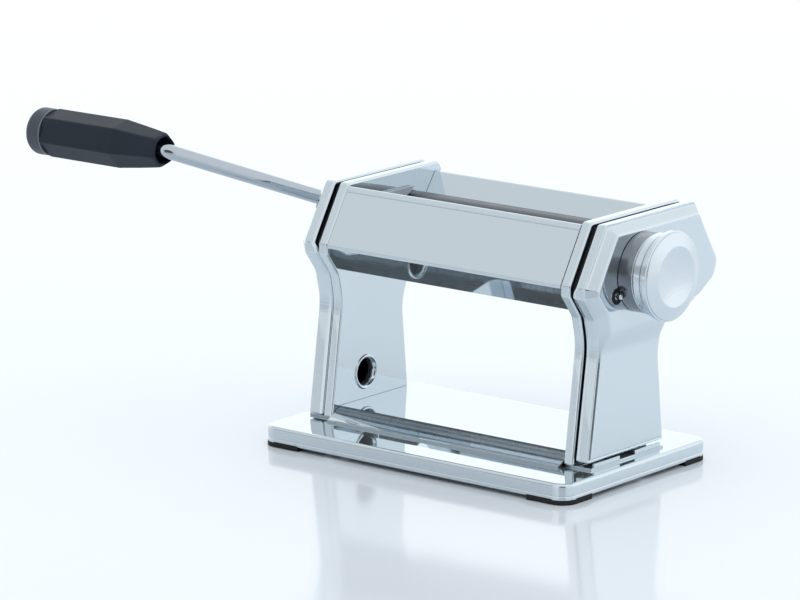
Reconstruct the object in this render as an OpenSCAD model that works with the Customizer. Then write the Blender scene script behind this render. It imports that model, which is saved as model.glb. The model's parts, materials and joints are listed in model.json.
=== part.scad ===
// Hand cranked pasta machine: two pressed cheeks on a tray, a pair of geared rollers,
// a thickness regulator at the right end and a removable crank at the left end.
// Lengths are millimetres. X runs along the rollers, -Y is the front, Z is up from the table.

/* [Base] */
// Length of the base tray
base_l = 200; // [190:1:240]
// Width of the base tray
base_w = 125; // [110:1:160]
// Height of the tray's skirt
tray_h = 8; // [7:0.5:14]
// Radius of the tray's corners
tray_corner_r = 9; // [6:0.5:18]
// Radius of the tray's rolled top edge
tray_edge_r = 3; // [2:0.5:5]
// Thickness of every pressed sheet
sheet = 1; // [0.7:0.1:1.3]
// Height of the rubber feet under the tray
foot_h = 3; // [2:0.5:8]
// Length of a corner foot along the tray
foot_l = 25; // [20:1:32]
// Width of a corner foot across the tray
foot_w = 22; // [20:1:32]
// Diameter of the screws that hold the legs down
base_screw_d = 3; // [2.5:0.5:4]

/* [Bridge] */
// Rise of the raised platform above the tray
bridge_rise = 6.8; // [5:0.2:10]
// Width of the raised platform, front to back
bridge_w = 62; // [50:1:66]
// Thickness of the foot plate that the legs stand on
plate_t = 1.2; // [0.8:0.1:2]
// Reach of the foot plate past the platform, front and back
plate_rim = 3; // [2:0.5:6]
// Height of the upturned tabs at the ends of the foot plate
tab_h = 2.5; // [1.5:0.1:4]
// Width of the notch between the two tabs
tab_notch = 13; // [6:1:20]

/* [Cheeks] */
// Clear width between the two cheeks
cheek_gap = 152; // [140:1:166]
// Thickness of a leg over its two shells
leg_t = 16.2; // [15:0.2:17]
// Thickness of a head over its two shells
head_t = 20.5; // [19.9:0.1:24]
// Depth of an inner shell's rim
inner_rim = 6; // [4:0.5:6.5]
// Gap between the two rims on a leg
leg_rim_gap = 1.5; // [1:0.1:3]
// Gap between the two rims on a head
head_rim_gap = 4.6; // [3:0.1:5]
// Depth of the bevel around a head's face
bevel_h = 5; // [3:0.2:6]
// Width of the bevel around a head's face
bevel_w = 4; // [2:0.2:5]
// Width of the bead step between rim and bevel
bead_w = 1.2; // [0.6:0.1:1.6]
// Bore of the clamp hole in each leg
clamp_d = 14.8; // [10:0.2:16]
// Height of the clamp hole above the table
clamp_z = 32; // [30:0.5:40]
// Place of the clamp hole in front of the leg's middle
clamp_y = 4.3; // [0:0.1:6]

/* [Side outline] */
// Height of the roller axes above the table
axis_h = 109; // [100:1:125]
// Depth of a head, front to back
head_d = 112.5; // [108:0.5:122]
// Offset of the heads behind the middle of the base
head_y = 19.75; // [16:0.25:24]
// Height of a head above the roller axes
head_up = 27; // [26:0.5:34]
// Depth of the flat top of a head
top_d = 76; // [72:1:82]
// Drop of the head's vertical belt below the roller axes
belt_drop = 3; // [1:0.5:5]
// Height of the head's vertical belt
belt_h = 5.5; // [3:0.5:7]
// Drop of the chin in front, below the roller axes
chin_drop = 20.5; // [18:0.5:24]
// Drop of the neck below the roller axes
neck_drop = 35; // [32:0.5:42]
// Depth of the neck, front to back
neck_d = 51; // [44:0.5:56]
// Depth of a leg at its foot, front to back
leg_d = 65; // [60:0.5:68]

/* [Rollers] */
// Diameter of the two rollers
roller_d = 29; // [27.5:0.1:29.4]
// Gap between each roller end and its cheek
roller_end_gap = 1; // [0.8:0.1:2]
// Smallest gap between the rollers
nip_gap = 0.6; // [0.3:0.1:1]
// Travel of the front roller from thinnest to thickest
nip_travel = 2.4; // [1.5:0.1:2.6]
// Diameter of the roller journals
journal_d = 12; // [11.4:0.2:13]
// Diameter of the bar that joins the two bearing slides
tie_bar_d = 6; // [4:0.5:6]

/* [Gears] */
// Number of teeth on each gear
gear_teeth = 14; // [12:1:16]
// Width of a gear's face
gear_w = 7; // [5:0.5:7.5]
// Pressure angle of the teeth
pressure_angle = 25; // [20:1:25]
// Play between meshing teeth
backlash = 0.5; // [0.3:0.1:0.8]

/* [Regulator] */
// Turn of the knob from thinnest to thickest
knob_turn = 270; // [180:10:280]
// Pull of the knob out of its stop
knob_pull = 4; // [2:0.5:4.5]
// Diameter of the knob's collar
collar_d = 41.4; // [38:0.2:43]
// Length of the knob's collar
collar_l = 9.4; // [9:0.2:12]
// Diameter of the knob's grip band
band_d = 43; // [40:0.2:44]
// Length of the knob's grip band
band_l = 6.3; // [6:0.1:9]
// Diameter of the knob's rim
rim_d = 46.6; // [45:0.2:52]
// Thickness of the knob's rim
rim_t = 5.6; // [5.2:0.2:7]
// Diameter of the dish in the knob's face
dish_d = 30.6; // [26:0.2:36]
// Depth of the dish in the knob's face
dish_depth = 2.4; // [1:0.2:2.6]
// Diameter of the regulator spindle
spindle_d = 10; // [9:0.5:11]

/* [Crank] */
// Diameter of the crank rod
rod_d = 8; // [7:0.2:8.2]
// Radius of the grip's circle
crank_r = 94; // [80:1:94]
// Slant of the crank arm from the roller axis
crank_slant = 58; // [50:1:75]
// Bend radius of the crank rod at its middle line
bend_r = 9; // [8:0.5:14]
// Depth of the crank in its socket
socket_depth = 24; // [18:1:28]
// Turn of the crank arm from upright at rest
crank_rest = 66.6; // [0:0.1:360]

/* [Grip] */
// Width of the six-sided grip over its corners
grip_d = 26.5; // [22:0.5:28]
// Width of the grip at its mouth
mouth_d = 19; // [18:0.5:22]
// Length of the grip's taper
taper_l = 29; // [20:1:36]
// Length of the grip's straight part
barrel_l = 50; // [40:1:60]
// Length of the grip's end cap
cap_l = 11; // [9:0.5:16]
// Turn of the grip's flats at rest
grip_turn = 37; // [0:1:60]

/* [Clearances] */
// Radial play of a shaft in its bore
run_gap = 0.05; // [0.02:0.01:0.1]
// Play of a flat slide in its guide
slide_gap = 0.15; // [0.1:0.05:0.3]
// Room between pieces that only lie side by side
free_gap = 0.3; // [0.2:0.05:0.4]

/* [Hidden] */
$fn = 48;
arc_steps = 4;
over = 1;

// Heights
tray_top = foot_h + tray_h;
plate_top = tray_top + plate_t;
head_top = axis_h + head_up;
shell_lift = tab_h + free_gap;

// Places along X, counted from the middle to the right
cheek_in = cheek_gap / 2;
sheet_out = cheek_in + sheet;
rim_in = cheek_in + inner_rim;
leg_out = cheek_in + leg_t;
head_out = cheek_in + head_t;
head_wall = head_out - sheet;
leg_wall = leg_out - sheet;
bevel_in = head_out - bevel_h;
plate_end = leg_out + 0.2;

// Rollers in the YZ plane
roller_r = roller_d / 2;
journal_r = journal_d / 2;
roller_len = cheek_gap - 2 * roller_end_gap;
axis_gap = roller_d + nip_gap;
front_y = head_y - axis_gap / 2;
rear_y = head_y + axis_gap / 2;

// Bearing slides of the front roller
slide_t = 4.6;
slide_half_h = journal_r + 2.2;
slide_in = sheet_out + slide_gap;
slide_out = slide_in + slide_t;
tie_bar_r = tie_bar_d / 2;
tie_bar_y = front_y - roller_r - tie_bar_r - 1.8;
tie_bar_z = axis_h - 4;
slide_front = tie_bar_y - tie_bar_r - 1.5;
slide_back = front_y + journal_r + 2.2;
rail_h = 3.2;

// Bushes and gears
bush_r = journal_r + 3;
gear_in = slide_out + 2 * free_gap;
gear_out = gear_in + gear_w;
clip_t = 0.8;
gear_r = axis_gap / 2;
gear_module = axis_gap / gear_teeth;
gear_tip = gear_r + 0.95 * gear_module;
gear_root = gear_r - 1.25 * gear_module;
gear_base = gear_r * cos(pressure_angle);

// Regulator
spindle_r = spindle_d / 2;
follower_r = 1.6;
cam_in = slide_out + 2 * free_gap;
cam_t = 4.2;
cam_out = cam_in + cam_t;
cam_start_r = journal_r + 3.8;
cam_slot = follower_r + free_gap;
cam_r = cam_start_r + nip_travel + cam_slot + 2.2;
spindle_bush_r = spindle_r + 3;
spindle_bush_in = head_wall - 3.4;
knob_in = head_out + 0.4;
collar_out = knob_in + collar_l;
band_out = collar_out + band_l;
knob_out = band_out + rim_t;
knob_wall = 2.8;
hub_r = spindle_r + 3.5;
hub_in = knob_in + 2;
hub_out = hub_in + 5;
retainer_t = 1.4;
spring_wire = 0.8;
spring_turns = 4;
spring_r = spindle_r + 1.6;
retainer_in = hub_out + knob_pull + spring_turns * spring_wire + 2 * free_gap;
spindle_end = retainer_in + retainer_t;
cap_spigot = 1.2;
peg_r = 1.4;
peg_angle = 204;
peg_reach = collar_d / 2 + peg_r + 0.8;
peg_place = [front_y + peg_reach * cos(peg_angle), axis_h + peg_reach * sin(peg_angle)];

// Crank, laid out in the plane of the shaft axis and the grip axis
rod_r = rod_d / 2;
hex_r = rod_r;
joint_swell = 0.06;
shaft_end = head_out + 0.8;
collar_t = 2.4;
arm_len = (crank_r - 2 * bend_r * (1 - cos(crank_slant))) / sin(crank_slant);
arm_run = 2 * bend_r * sin(crank_slant) + arm_len * cos(crank_slant);
first_bend = shaft_end + 13;
second_bend = first_bend + arm_run;
mouth_depth = 4.4;
grip_in = second_bend - mouth_depth;
grip_out = grip_in + taper_l + barrel_l;
rod_end = grip_out + cap_l / 2 - 2;
grip_gap = 1.8 * run_gap;
grip_washer_t = 1.5;
grip_washer_r = rod_r + 2.5;

// Tie rods, as [y, z]
tie_rod_r = 3;
nut_r = 4.6;
nut_t = 4;
tie_rod_end = sheet_out + nut_t + 2 * free_gap;
front_rod_in = 24.5;
front_rod_drop = slide_half_h + slide_gap + rail_h + free_gap + nut_r;
rear_rod_in = 16;
rear_rod_drop = 13;
rear_rod_rise = 9;
slope_run = (head_d - top_d) / 2 / (head_up + belt_drop);
rear_slope_in = (rear_rod_rise + belt_drop) * slope_run
    + (sheet + nut_r + free_gap) * sqrt(1 + slope_run * slope_run);
tie_rods = [
    [head_y - head_d / 2 + front_rod_in, axis_h - front_rod_drop],
    [head_y + head_d / 2 - rear_slope_in, axis_h + rear_rod_rise],
    [head_y + head_d / 2 - rear_rod_in, axis_h - rear_rod_drop],
];

// Leg spacers and hold-down screws
spacer_r = 4.5;
spacer_rise = 27;
spacer_back = 13;
spacer_drop = 7;
leg_spacers_at = [[0, clamp_z + spacer_rise], [leg_d / 2 - spacer_back, clamp_z - spacer_drop]];
screw_r = base_screw_d / 2;
screw_x = sheet_out + inner_rim / 2 - 0.1;
screw_inset = 8;
screw_y = leg_d / 2 - screw_inset;

// Covers
cover_len = cheek_gap - free_gap;
cover_inset = 0.4;
hem_r = 1.2;
scraper_t = 0.8;
scraper_gap = 0.4;
scraper_lean = 3;
scraper_drop = 7;
scraper_foot = 6;
rear_lip_gap = 0.9;
rear_lip_at = 43;
guide_t = 2;

// Corners of a cheek's side outline as [y, z, radius], from the foot's front, around the back
function side_corners(foot_z) = [
    [-leg_d / 2 - 0.5, foot_z, 0.8],
    [leg_d / 2 - 0.5, foot_z, 0.8],
    [neck_d / 2 + 1.3, axis_h - neck_drop - 9, 30],
    [neck_d / 2 + 7, axis_h - neck_drop + 4.5, 6],
    [head_y + head_d / 2 - 18, axis_h - chin_drop - 5, 14],
    [head_y + head_d / 2 - 4, axis_h - chin_drop + 3.5, 8],
    [head_y + head_d / 2, axis_h - belt_drop - belt_h, 4],
    [head_y + head_d / 2, axis_h - belt_drop, 3],
    [head_y + top_d / 2, head_top, 3],
    [head_y - top_d / 2, head_top, 3],
    [head_y - head_d / 2, axis_h - belt_drop, 3],
    [head_y - head_d / 2, axis_h - belt_drop - belt_h, 2.5],
    [-neck_d / 2 - 2, axis_h - chin_drop, 8],
    [-neck_d / 2 + 1.5, axis_h - neck_drop, 40],
];

// Plane geometry
function unit(v) = v / norm(v);
function left_of(d) = [-d.y, d.x];
function flat2(p) = [p.x, p.y];
function turn(a, b) = a.x * b.y - a.y * b.x;

// Points of an arc that rounds the corner b between a and c with radius r
function corner_arc(a, b, c, r) =
    let (
        u = unit(b - a),
        v = unit(c - b),
        bend = atan2(turn(u, v), u * v),
        cut = r * tan(abs(bend) / 2),
        side = bend > 0 ? 1 : -1,
        centre = b - u * cut + left_of(u) * side * r,
        spoke = (b - u * cut) - centre
    )
    [for (i = [0 : arc_steps])
        let (t = bend * i / arc_steps)
        centre + [spoke.x * cos(t) - spoke.y * sin(t), spoke.x * sin(t) + spoke.y * cos(t)]];

// Closed outline with every corner rounded
function rounded(v) =
    let (n = len(v))
    [for (i = [0 : n - 1])
        each corner_arc(flat2(v[(i + n - 1) % n]), flat2(v[i]), flat2(v[(i + 1) % n]), v[i].z)];

// Closed counter-clockwise outline moved inwards by d, with its radii to match
function inset(v, d) =
    let (n = len(v))
    [for (i = [0 : n - 1])
        let (
            u = unit(flat2(v[i]) - flat2(v[(i + n - 1) % n])),
            w = unit(flat2(v[(i + 1) % n]) - flat2(v[i])),
            a = left_of(u),
            b = left_of(w),
            p = flat2(v[i]) + d * (a + b) / (1 + a * b),
            r = turn(u, w) > 0 ? max(v[i].z - d, 0.3) : v[i].z + d
        )
        [p.x, p.y, r]];

// Open path with its inner corners rounded
function rounded_path(v) =
    [for (i = [0 : len(v) - 1])
        each (i == 0 || i == len(v) - 1)
            ? [flat2(v[i])]
            : corner_arc(flat2(v[i - 1]), flat2(v[i]), flat2(v[i + 1]), v[i].z)];

// Open path moved to its left by t, with mitred corners
function shifted_path(p, t) =
    let (n = len(p))
    [for (i = [0 : n - 1])
        let (
            a = left_of(unit(p[max(i, 1)] - p[max(i, 1) - 1])),
            b = left_of(unit(p[min(i, n - 2) + 1] - p[min(i, n - 2)]))
        )
        p[i] + t * (a + b) / (1 + a * b)];

// Section of a bent sheet that follows a path and has its thickness on the left of it
function bent_sheet(v, t) =
    let (p = rounded_path(v), q = shifted_path(p, t))
    concat(p, [for (i = [len(q) - 1 : -1 : 0]) q[i]]);

function between(a, b, t) = a + (b - a) * t;

// Smooth step from one value to another between two heights
function eased(z, z0, z1, a, b) =
    let (t = min(max((z - z0) / (z1 - z0), 0), 1))
    a + (b - a) * (1 - cos(180 * t)) / 2;

// A YZ section run along X from x0 to x1
module along_x(points, x0, x1) {
    translate([x0, 0, 0])
        rotate([90, 0, 90])
            linear_extrude(x1 - x0)
                polygon(points);
}

// A round bar along X
module bar_x(place, r, x0, x1, sides = 48) {
    translate([x0, place[0], place[1]])
        rotate([0, 90, 0])
            cylinder(r = r, h = x1 - x0, $fn = sides);
}

// A slot along Y, cut through along X
module slot_x(y0, y1, z, r, x0, x1) {
    bar_x([y0, z], r, x0, x1);
    bar_x([y1, z], r, x0, x1);
    translate([x0, min(y0, y1), z - r])
        cube([x1 - x0, abs(y1 - y0), 2 * r]);
}

// A solid of revolution about an axis along X, from a profile of [radius, x]
module turned_x(place, profile) {
    translate([0, place[0], place[1]])
        rotate([0, 90, 0])
            rotate_extrude()
                polygon(profile);
}

// Two copies, one on each side of the middle
module both_ends() {
    children();
    mirror([1, 0, 0])
        children();
}

// Side outline of a cheek at an inset, as plain points
function side_points(foot_z, d) = rounded(inset(side_corners(foot_z), d));

// A block skinned over stations of [x, inset] of a cheek's outline
module cheek_block(foot_z, stations) {
    loops = [for (s = stations) side_points(foot_z, s[1])];
    n = len(loops[0]);
    last = len(stations) - 1;
    points = [for (k = [0 : last]) each [for (p = loops[k]) [stations[k][0], p.x, p.y]]];
    sides = [for (k = [0 : last - 1], i = [0 : n - 1])
        let (
            a = k * n + i,
            b = k * n + (i + 1) % n
        )
        each [[a, a + n, b + n], [a, b + n, b]]];
    caps = [[for (i = [0 : n - 1]) i], [for (i = [n - 1 : -1 : 0]) last * n + i]];
    polyhedron(points, concat(sides, caps));
}

// Everything inboard of a face that swells from the leg out to the head
module swell_block(leg_x, head_x, z0, z1) {
    steps = 8;
    face = [for (i = [0 : steps])
        let (z = z0 + (z1 - z0) * i / steps)
        [eased(z, z0, z1, leg_x, head_x), z]];
    points = concat([[0, 0], [leg_x, 0]], face, [[head_x, 2 * head_top], [0, 2 * head_top]]);
    rotate([90, 0, 0])
        linear_extrude(2 * base_w, center = true)
            polygon(points);
}

swell_low = axis_h - neck_drop - 5;
swell_high = axis_h - neck_drop + 9;
rim_high = axis_h - belt_drop + 1;
rim_low = rim_high - 5;

// The outer form of an outer shell, with its walls moved inwards by d
module outer_form(foot_z, d) {
    slope = bevel_w / bevel_h;
    intersection() {
        cheek_block(foot_z, [
            [rim_in - over - d, d],
            [bevel_in - d, d],
            [bevel_in - d, bead_w + d],
            [head_out - d + over, bead_w + d + bevel_w + over * slope],
        ]);
        swell_block(leg_out - d, head_out - d, swell_low, swell_high);
    }
}

// Right-hand outer shell without its holes
module outer_shell_blank() {
    foot_z = plate_top + shell_lift;
    difference() {
        outer_form(foot_z, 0);
        outer_form(foot_z, sheet);
        swell_block(rim_in + leg_rim_gap, rim_in + head_rim_gap, rim_low, rim_high);
    }
}

// Rolled lip around a clamp hole
module clamp_lip() {
    r = clamp_d / 2;
    lip = 2.1;
    neck = 1.2;
    turned_x([-clamp_y, clamp_z], [
        [r, cheek_in + 4],
        [r, cheek_in + 0.3],
        [r + 0.5, cheek_in - 0.4],
        [r + neck, cheek_in - 0.7],
        [r + lip, cheek_in - 0.2],
        [r + lip, cheek_in + sheet / 2],
        [r + neck, cheek_in + sheet / 2],
        [r + neck, cheek_in + 4],
    ]);
}

// Right-hand inner shell without its roller holes
module inner_shell_blank() {
    difference() {
        along_x(side_points(plate_top, 0), cheek_in, rim_in);
        along_x(side_points(plate_top, sheet), sheet_out, rim_in + over);
        bar_x([-clamp_y, clamp_z], clamp_d / 2 + 1, cheek_in - over, sheet_out + over);
        for (rod = tie_rods)
            bar_x(rod, tie_rod_r + run_gap, cheek_in - over, sheet_out + over);
        for (y = [-screw_y, screw_y])
            translate([screw_x, y, plate_top - over])
                cylinder(r = screw_r + run_gap, h = sheet + 2 * over);
    }
    clamp_lip();
}

// Holes in an inner shell for the bearing slide, its tie bar and the rear bush
module roller_holes() {
    x0 = cheek_in - over;
    x1 = sheet_out + over;
    slot_x(front_y, front_y - nip_travel, axis_h, journal_r + 2 * free_gap, x0, x1);
    slot_x(tie_bar_y, tie_bar_y - nip_travel, tie_bar_z, tie_bar_r + 2 * free_gap, x0, x1);
    bar_x([rear_y, axis_h], bush_r + run_gap, x0, x1);
}

module inner_shell() {
    difference() {
        inner_shell_blank();
        roller_holes();
    }
}

module left_inner_shell() {
    color("silver")
        mirror([1, 0, 0])
            inner_shell();
}

module right_inner_shell() {
    color("silver")
        inner_shell();
}

module left_outer_shell() {
    color("lightgray")
        mirror([1, 0, 0])
            difference() {
                outer_shell_blank();
                bar_x([rear_y, axis_h], bush_r + run_gap, head_wall - over, head_out + over);
            }
}

module right_outer_shell() {
    color("lightgray")
        difference() {
            outer_shell_blank();
            bar_x([front_y, axis_h], spindle_bush_r + run_gap, head_wall - over, head_out + over);
            bar_x(peg_place, peg_r + run_gap, head_wall - over, head_out + over);
        }
}

// A slab with rounded corners and a rolled top edge
module rolled_slab(l, w, h, corner, edge) {
    steps = 5;
    roll = [for (i = [0 : steps])
        let (t = 90 * i / steps)
        [corner - edge + edge * cos(t), h - edge + edge * sin(t)]];
    hull()
        for (sx = [-1, 1], sy = [-1, 1])
            translate([sx * (l / 2 - corner), sy * (w / 2 - corner), 0])
                rotate_extrude($fn = 32)
                    polygon(concat([[0, 0], [corner, 0]], roll, [[0, h]]));
}

module screw_holes(r, z0, z1) {
    for (x = [-screw_x, screw_x], y = [-screw_y, screw_y])
        translate([x, y, z0])
            cylinder(r = r, h = z1 - z0);
}

module base_tray() {
    color("gainsboro")
        difference() {
            translate([0, 0, foot_h])
                rolled_slab(base_l, base_w, tray_h, tray_corner_r, tray_edge_r);
            translate([0, 0, foot_h - over])
                rolled_slab(base_l - 2 * sheet, base_w - 2 * sheet, tray_h - sheet + over,
                    tray_corner_r - sheet, tray_edge_r - sheet);
            screw_holes(screw_r + run_gap, tray_top - sheet - over, tray_top + over);
        }
}

// Hat section of the raised platform, from its front foot over to its rear foot
function hat_corners(half, top) = [
    [half, plate_top, 0],
    [half, top, 1.5],
    [-half, top, 1.5],
    [-half, plate_top, 0],
];

module base_bridge() {
    half = bridge_w / 2;
    plate_half = half + plate_rim;
    top = tray_top + bridge_rise;
    hat_end = cheek_in - free_gap;
    tab_l = (leg_d - tab_notch - 8) / 2;
    tab_mid = (tab_notch + tab_l) / 2;
    color("gainsboro") {
        along_x(bent_sheet(hat_corners(half, top), sheet), -hat_end, hat_end);
        difference() {
            for (size = [[plate_end, half], [hat_end, plate_half]])
                translate([-size.x, -size.y, tray_top])
                    cube([2 * size.x, 2 * size.y, plate_t]);
            translate([-hat_end, -half + sheet, tray_top - over])
                cube([2 * hat_end, bridge_w - 2 * sheet, plate_t + 2 * over]);
            screw_holes(screw_r + run_gap, tray_top - over, plate_top + over);
        }
        both_ends()
            for (side = [-1, 1])
                translate([plate_end - plate_t, side * tab_mid - tab_l / 2, plate_top])
                    cube([plate_t, tab_l, tab_h]);
    }
}

// A corner foot: a pad under the skirt and a plug that fills the skirt's corner
module corner_foot(sx, sy) {
    plug_wall = sheet + run_gap;
    x0 = sx > 0 ? base_l / 2 - foot_l : -base_l / 2;
    y0 = sy > 0 ? base_w / 2 - foot_w : -base_w / 2;
    color("#222222")
        intersection() {
            union() {
                foot_outline(tray_corner_r, base_l, base_w, foot_h);
                foot_outline(tray_corner_r - plug_wall, base_l - 2 * plug_wall, base_w - 2 * plug_wall,
                    foot_h + tray_h - tray_edge_r);
            }
            translate([x0, y0, 0])
                cube([foot_l, foot_w, tray_top]);
        }
}

module foot_outline(corner, l, w, h) {
    linear_extrude(h)
        polygon(rounded([
            [-l / 2, -w / 2, corner],
            [l / 2, -w / 2, corner],
            [l / 2, w / 2, corner],
            [-l / 2, w / 2, corner],
        ]));
}

module foot_front_left() { corner_foot(-1, -1); }
module foot_front_right() { corner_foot(1, -1); }
module foot_rear_left() { corner_foot(-1, 1); }
module foot_rear_right() { corner_foot(1, 1); }

// Hold-down screws: pan heads under the tray, nuts inside the legs
module base_screws() {
    head_h = 1.8;
    nut_h = 2.2;
    color("dimgray")
        for (x = [-screw_x, screw_x], y = [-screw_y, screw_y])
            translate([x, y, 0]) {
                translate([0, 0, tray_top - sheet - head_h])
                    cylinder(r = 1.8 * screw_r, h = head_h);
                translate([0, 0, tray_top - sheet - head_h / 2])
                    cylinder(r = screw_r, h = sheet + plate_t + sheet + head_h / 2 + nut_h + 0.5);
                translate([0, 0, plate_top + sheet])
                    cylinder(r = 1.75 * screw_r, h = nut_h, $fn = 6);
            }
}

// Spacers that hold an outer shell off its inner shell in the legs
module leg_spacers() {
    color("darkgray")
        both_ends()
            for (place = leg_spacers_at)
                bar_x(place, spacer_r, sheet_out, leg_wall);
}

module tie_rod(i) {
    color("darkgray")
        bar_x(tie_rods[i], tie_rod_r, -tie_rod_end, tie_rod_end);
}

module front_tie_rod() { tie_rod(0); }
module rear_upper_tie_rod() { tie_rod(1); }
module rear_lower_tie_rod() { tie_rod(2); }

module tie_rod_nuts() {
    color("dimgray")
        both_ends()
            for (rod = tie_rods)
                difference() {
                    bar_x(rod, nut_r, sheet_out, sheet_out + nut_t, 6);
                    bar_x(rod, tie_rod_r + run_gap, sheet_out - over, sheet_out + nut_t + over);
                }
}

// Corners of the head outline that the covers follow
cover_corners = inset(side_corners(plate_top), cover_inset);
function cover_corner(i) = flat2(cover_corners[i]);
hem_top = between(cover_corner(9), cover_corner(10), 0.06);
chin_start = between(cover_corner(10), cover_corner(11), 0.45);
chin_end = chin_start + [1, -1] * (chin_start.y - axis_h + chin_drop - 1);

module front_cover() {
    path = [
        [hem_top.x, hem_top.y, 0],
        [cover_corner(10).x, cover_corner(10).y, 2],
        [chin_start.x, chin_start.y, 2],
        [chin_end.x, chin_end.y, 1.5],
        [chin_end.x + 5, chin_end.y + 1.5, 0],
    ];
    slope = unit(cover_corner(10) - cover_corner(9));
    hem = hem_top + left_of(slope) * hem_r;
    hem_fold = hem + slope * 5;
    color("lightsteelblue") {
        along_x(bent_sheet(path, sheet), -cover_len / 2, cover_len / 2);
        bar_x(hem, hem_r, -cover_len / 2, cover_len / 2);
        along_x([
            hem,
            hem + left_of(slope) * hem_r,
            hem_fold + left_of(slope) * hem_r,
            hem_fold - left_of(slope) * 0.4,
            hem - left_of(slope) * 0.4,
        ], -cover_len / 2, cover_len / 2);
    }
}

// Lower edge and top of the hopper's rear slope
rear_lip_r = roller_r + rear_lip_gap;
rear_lip = [rear_y + rear_lip_r * cos(rear_lip_at), axis_h + rear_lip_r * sin(rear_lip_at)];
ridge_z = head_top - 4.8;

module rear_cover() {
    back_slope = unit(cover_corner(7) - cover_corner(8));
    ridge_back = cover_corner(8) + back_slope * (cover_corner(8).y - ridge_z) / -back_slope.y;
    path = [
        [rear_lip.x, rear_lip.y, 0],
        [rear_lip.x + (ridge_z - rear_lip.y) * 0.72, ridge_z, 2],
        [ridge_back.x, ridge_back.y, 2.5],
        [cover_corner(7).x, cover_corner(7).y, 3],
        [cover_corner(6).x, cover_corner(6).y, 4],
        [cover_corner(5).x, cover_corner(5).y, 6],
        [cover_corner(4).x, cover_corner(4).y, 2],
        [cover_corner(4).x - 5, cover_corner(4).y + 3, 0],
    ];
    color("lightsteelblue")
        along_x(bent_sheet(path, -sheet), -cover_len / 2, cover_len / 2);
}

// Sloping plate that feeds the dough from the front hem to the front roller
module hopper_guide() {
    reach = roller_r + nip_travel + 1.2;
    low = [front_y + reach * cos(135), axis_h + reach * sin(135)];
    high = [hem_top.x + 3.2, hem_top.y - 2.2];
    path = [
        [high.x - 1.6, high.y - 6, 0],
        [high.x, high.y, 1.2],
        [low.x, low.y, 0],
    ];
    color("lightsteelblue")
        along_x(bent_sheet(path, -sheet), -cover_len / 2, cover_len / 2);
}

// End guides that keep the dough off the roller ends, shaped to the rollers
module dough_guide() {
    room = roller_r + 2 * free_gap;
    top = axis_h + roller_r + 3;
    low = axis_h + 4;
    difference() {
        along_x([
            [front_y + 3, top],
            [head_y - 2, low],
            [head_y + 2, low],
            [rear_y - 1, top],
        ], cheek_in - free_gap - guide_t, cheek_in - free_gap);
        slot_x(front_y, front_y - nip_travel, axis_h, room, 0, cheek_in);
        bar_x([rear_y, axis_h], room, 0, cheek_in);
    }
}

module dough_guide_left() {
    color("whitesmoke")
        mirror([1, 0, 0])
            dough_guide();
}

module dough_guide_right() {
    color("whitesmoke")
        dough_guide();
}

// Scraper blade under a roller: side is 1 for the front roller and -1 for the rear one
module scraper(y, side) {
    reach = roller_r + scraper_gap;
    tip = [y + side * reach * cos(-70), axis_h + reach * sin(-70)];
    path = [
        [tip.x, tip.y, 0],
        [tip.x - side * scraper_lean, tip.y - scraper_drop, 1.5],
        [tip.x - side * (scraper_lean + scraper_foot), tip.y - scraper_drop - scraper_foot / 3, 0],
    ];
    color("silver")
        along_x(bent_sheet(path, side * scraper_t), -cover_len / 2, cover_len / 2);
}

module front_scraper() { scraper(front_y, 1); }
module rear_scraper() { scraper(rear_y, -1); }

// Flanged bush of the rear roller in an inner shell
module rear_bush() {
    turned_x([rear_y, axis_h], [
        [journal_r + run_gap, cheek_in],
        [bush_r, cheek_in],
        [bush_r, sheet_out],
        [bush_r + 2, sheet_out],
        [bush_r + 2, slide_out],
        [journal_r + run_gap, slide_out],
    ]);
}

module rear_bush_left() {
    color("ivory")
        mirror([1, 0, 0])
            rear_bush();
}

module rear_bush_right() {
    color("ivory")
        rear_bush();
}

// Flanged bush of the crank socket in the left outer shell
module socket_bush() {
    color("ivory")
        mirror([1, 0, 0])
            turned_x([rear_y, axis_h], [
                [journal_r + run_gap, head_wall - 3],
                [bush_r + 2, head_wall - 3],
                [bush_r + 2, head_wall],
                [bush_r, head_wall],
                [bush_r, head_out + 0.5],
                [journal_r + run_gap, head_out + 0.5],
            ]);
}

// Flanged bush of the regulator spindle in the right outer shell
module spindle_bush() {
    color("ivory")
        turned_x([front_y, axis_h], [
            [spindle_r + run_gap, spindle_bush_in],
            [spindle_bush_r + 2, spindle_bush_in],
            [spindle_bush_r + 2, head_wall],
            [spindle_bush_r, head_wall],
            [spindle_bush_r, head_out + 0.2],
            [spindle_r + run_gap, head_out + 0.2],
        ]);
}

// Index peg beside the knob's collar
module index_peg() {
    color("silver")
        turned_x(peg_place, [
            [0, head_wall - 1],
            [peg_r, head_wall - 1],
            [peg_r, knob_in + 2],
            [0.7 * peg_r, knob_in + 2.7],
            [0, knob_in + 3],
        ]);
}

// Guide rails above and below a bearing slide
module guide_rails() {
    y0 = slide_front - nip_travel - 1;
    y1 = slide_back + 0.5;
    for (side = [-1, 1])
        translate([sheet_out, y0, axis_h + side * (slide_half_h + slide_gap + rail_h / 2) - rail_h / 2])
            cube([slide_t, y1 - y0, rail_h]);
}

module left_guide_rails() {
    color("dimgray")
        mirror([1, 0, 0])
            guide_rails();
}

module right_guide_rails() {
    color("dimgray")
        guide_rails();
}

// Bearing slide of the front roller
module bearing_slide() {
    difference() {
        translate([slide_in, slide_front, axis_h - slide_half_h])
            cube([slide_t, slide_back - slide_front, 2 * slide_half_h]);
        bar_x([front_y, axis_h], journal_r + run_gap, slide_in - over, slide_out + over);
        bar_x([tie_bar_y, tie_bar_z], tie_bar_r + run_gap, slide_in - over, slide_out + over);
    }
}

module left_bearing_slide() {
    color("goldenrod")
        mirror([1, 0, 0])
            bearing_slide();
}

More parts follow.
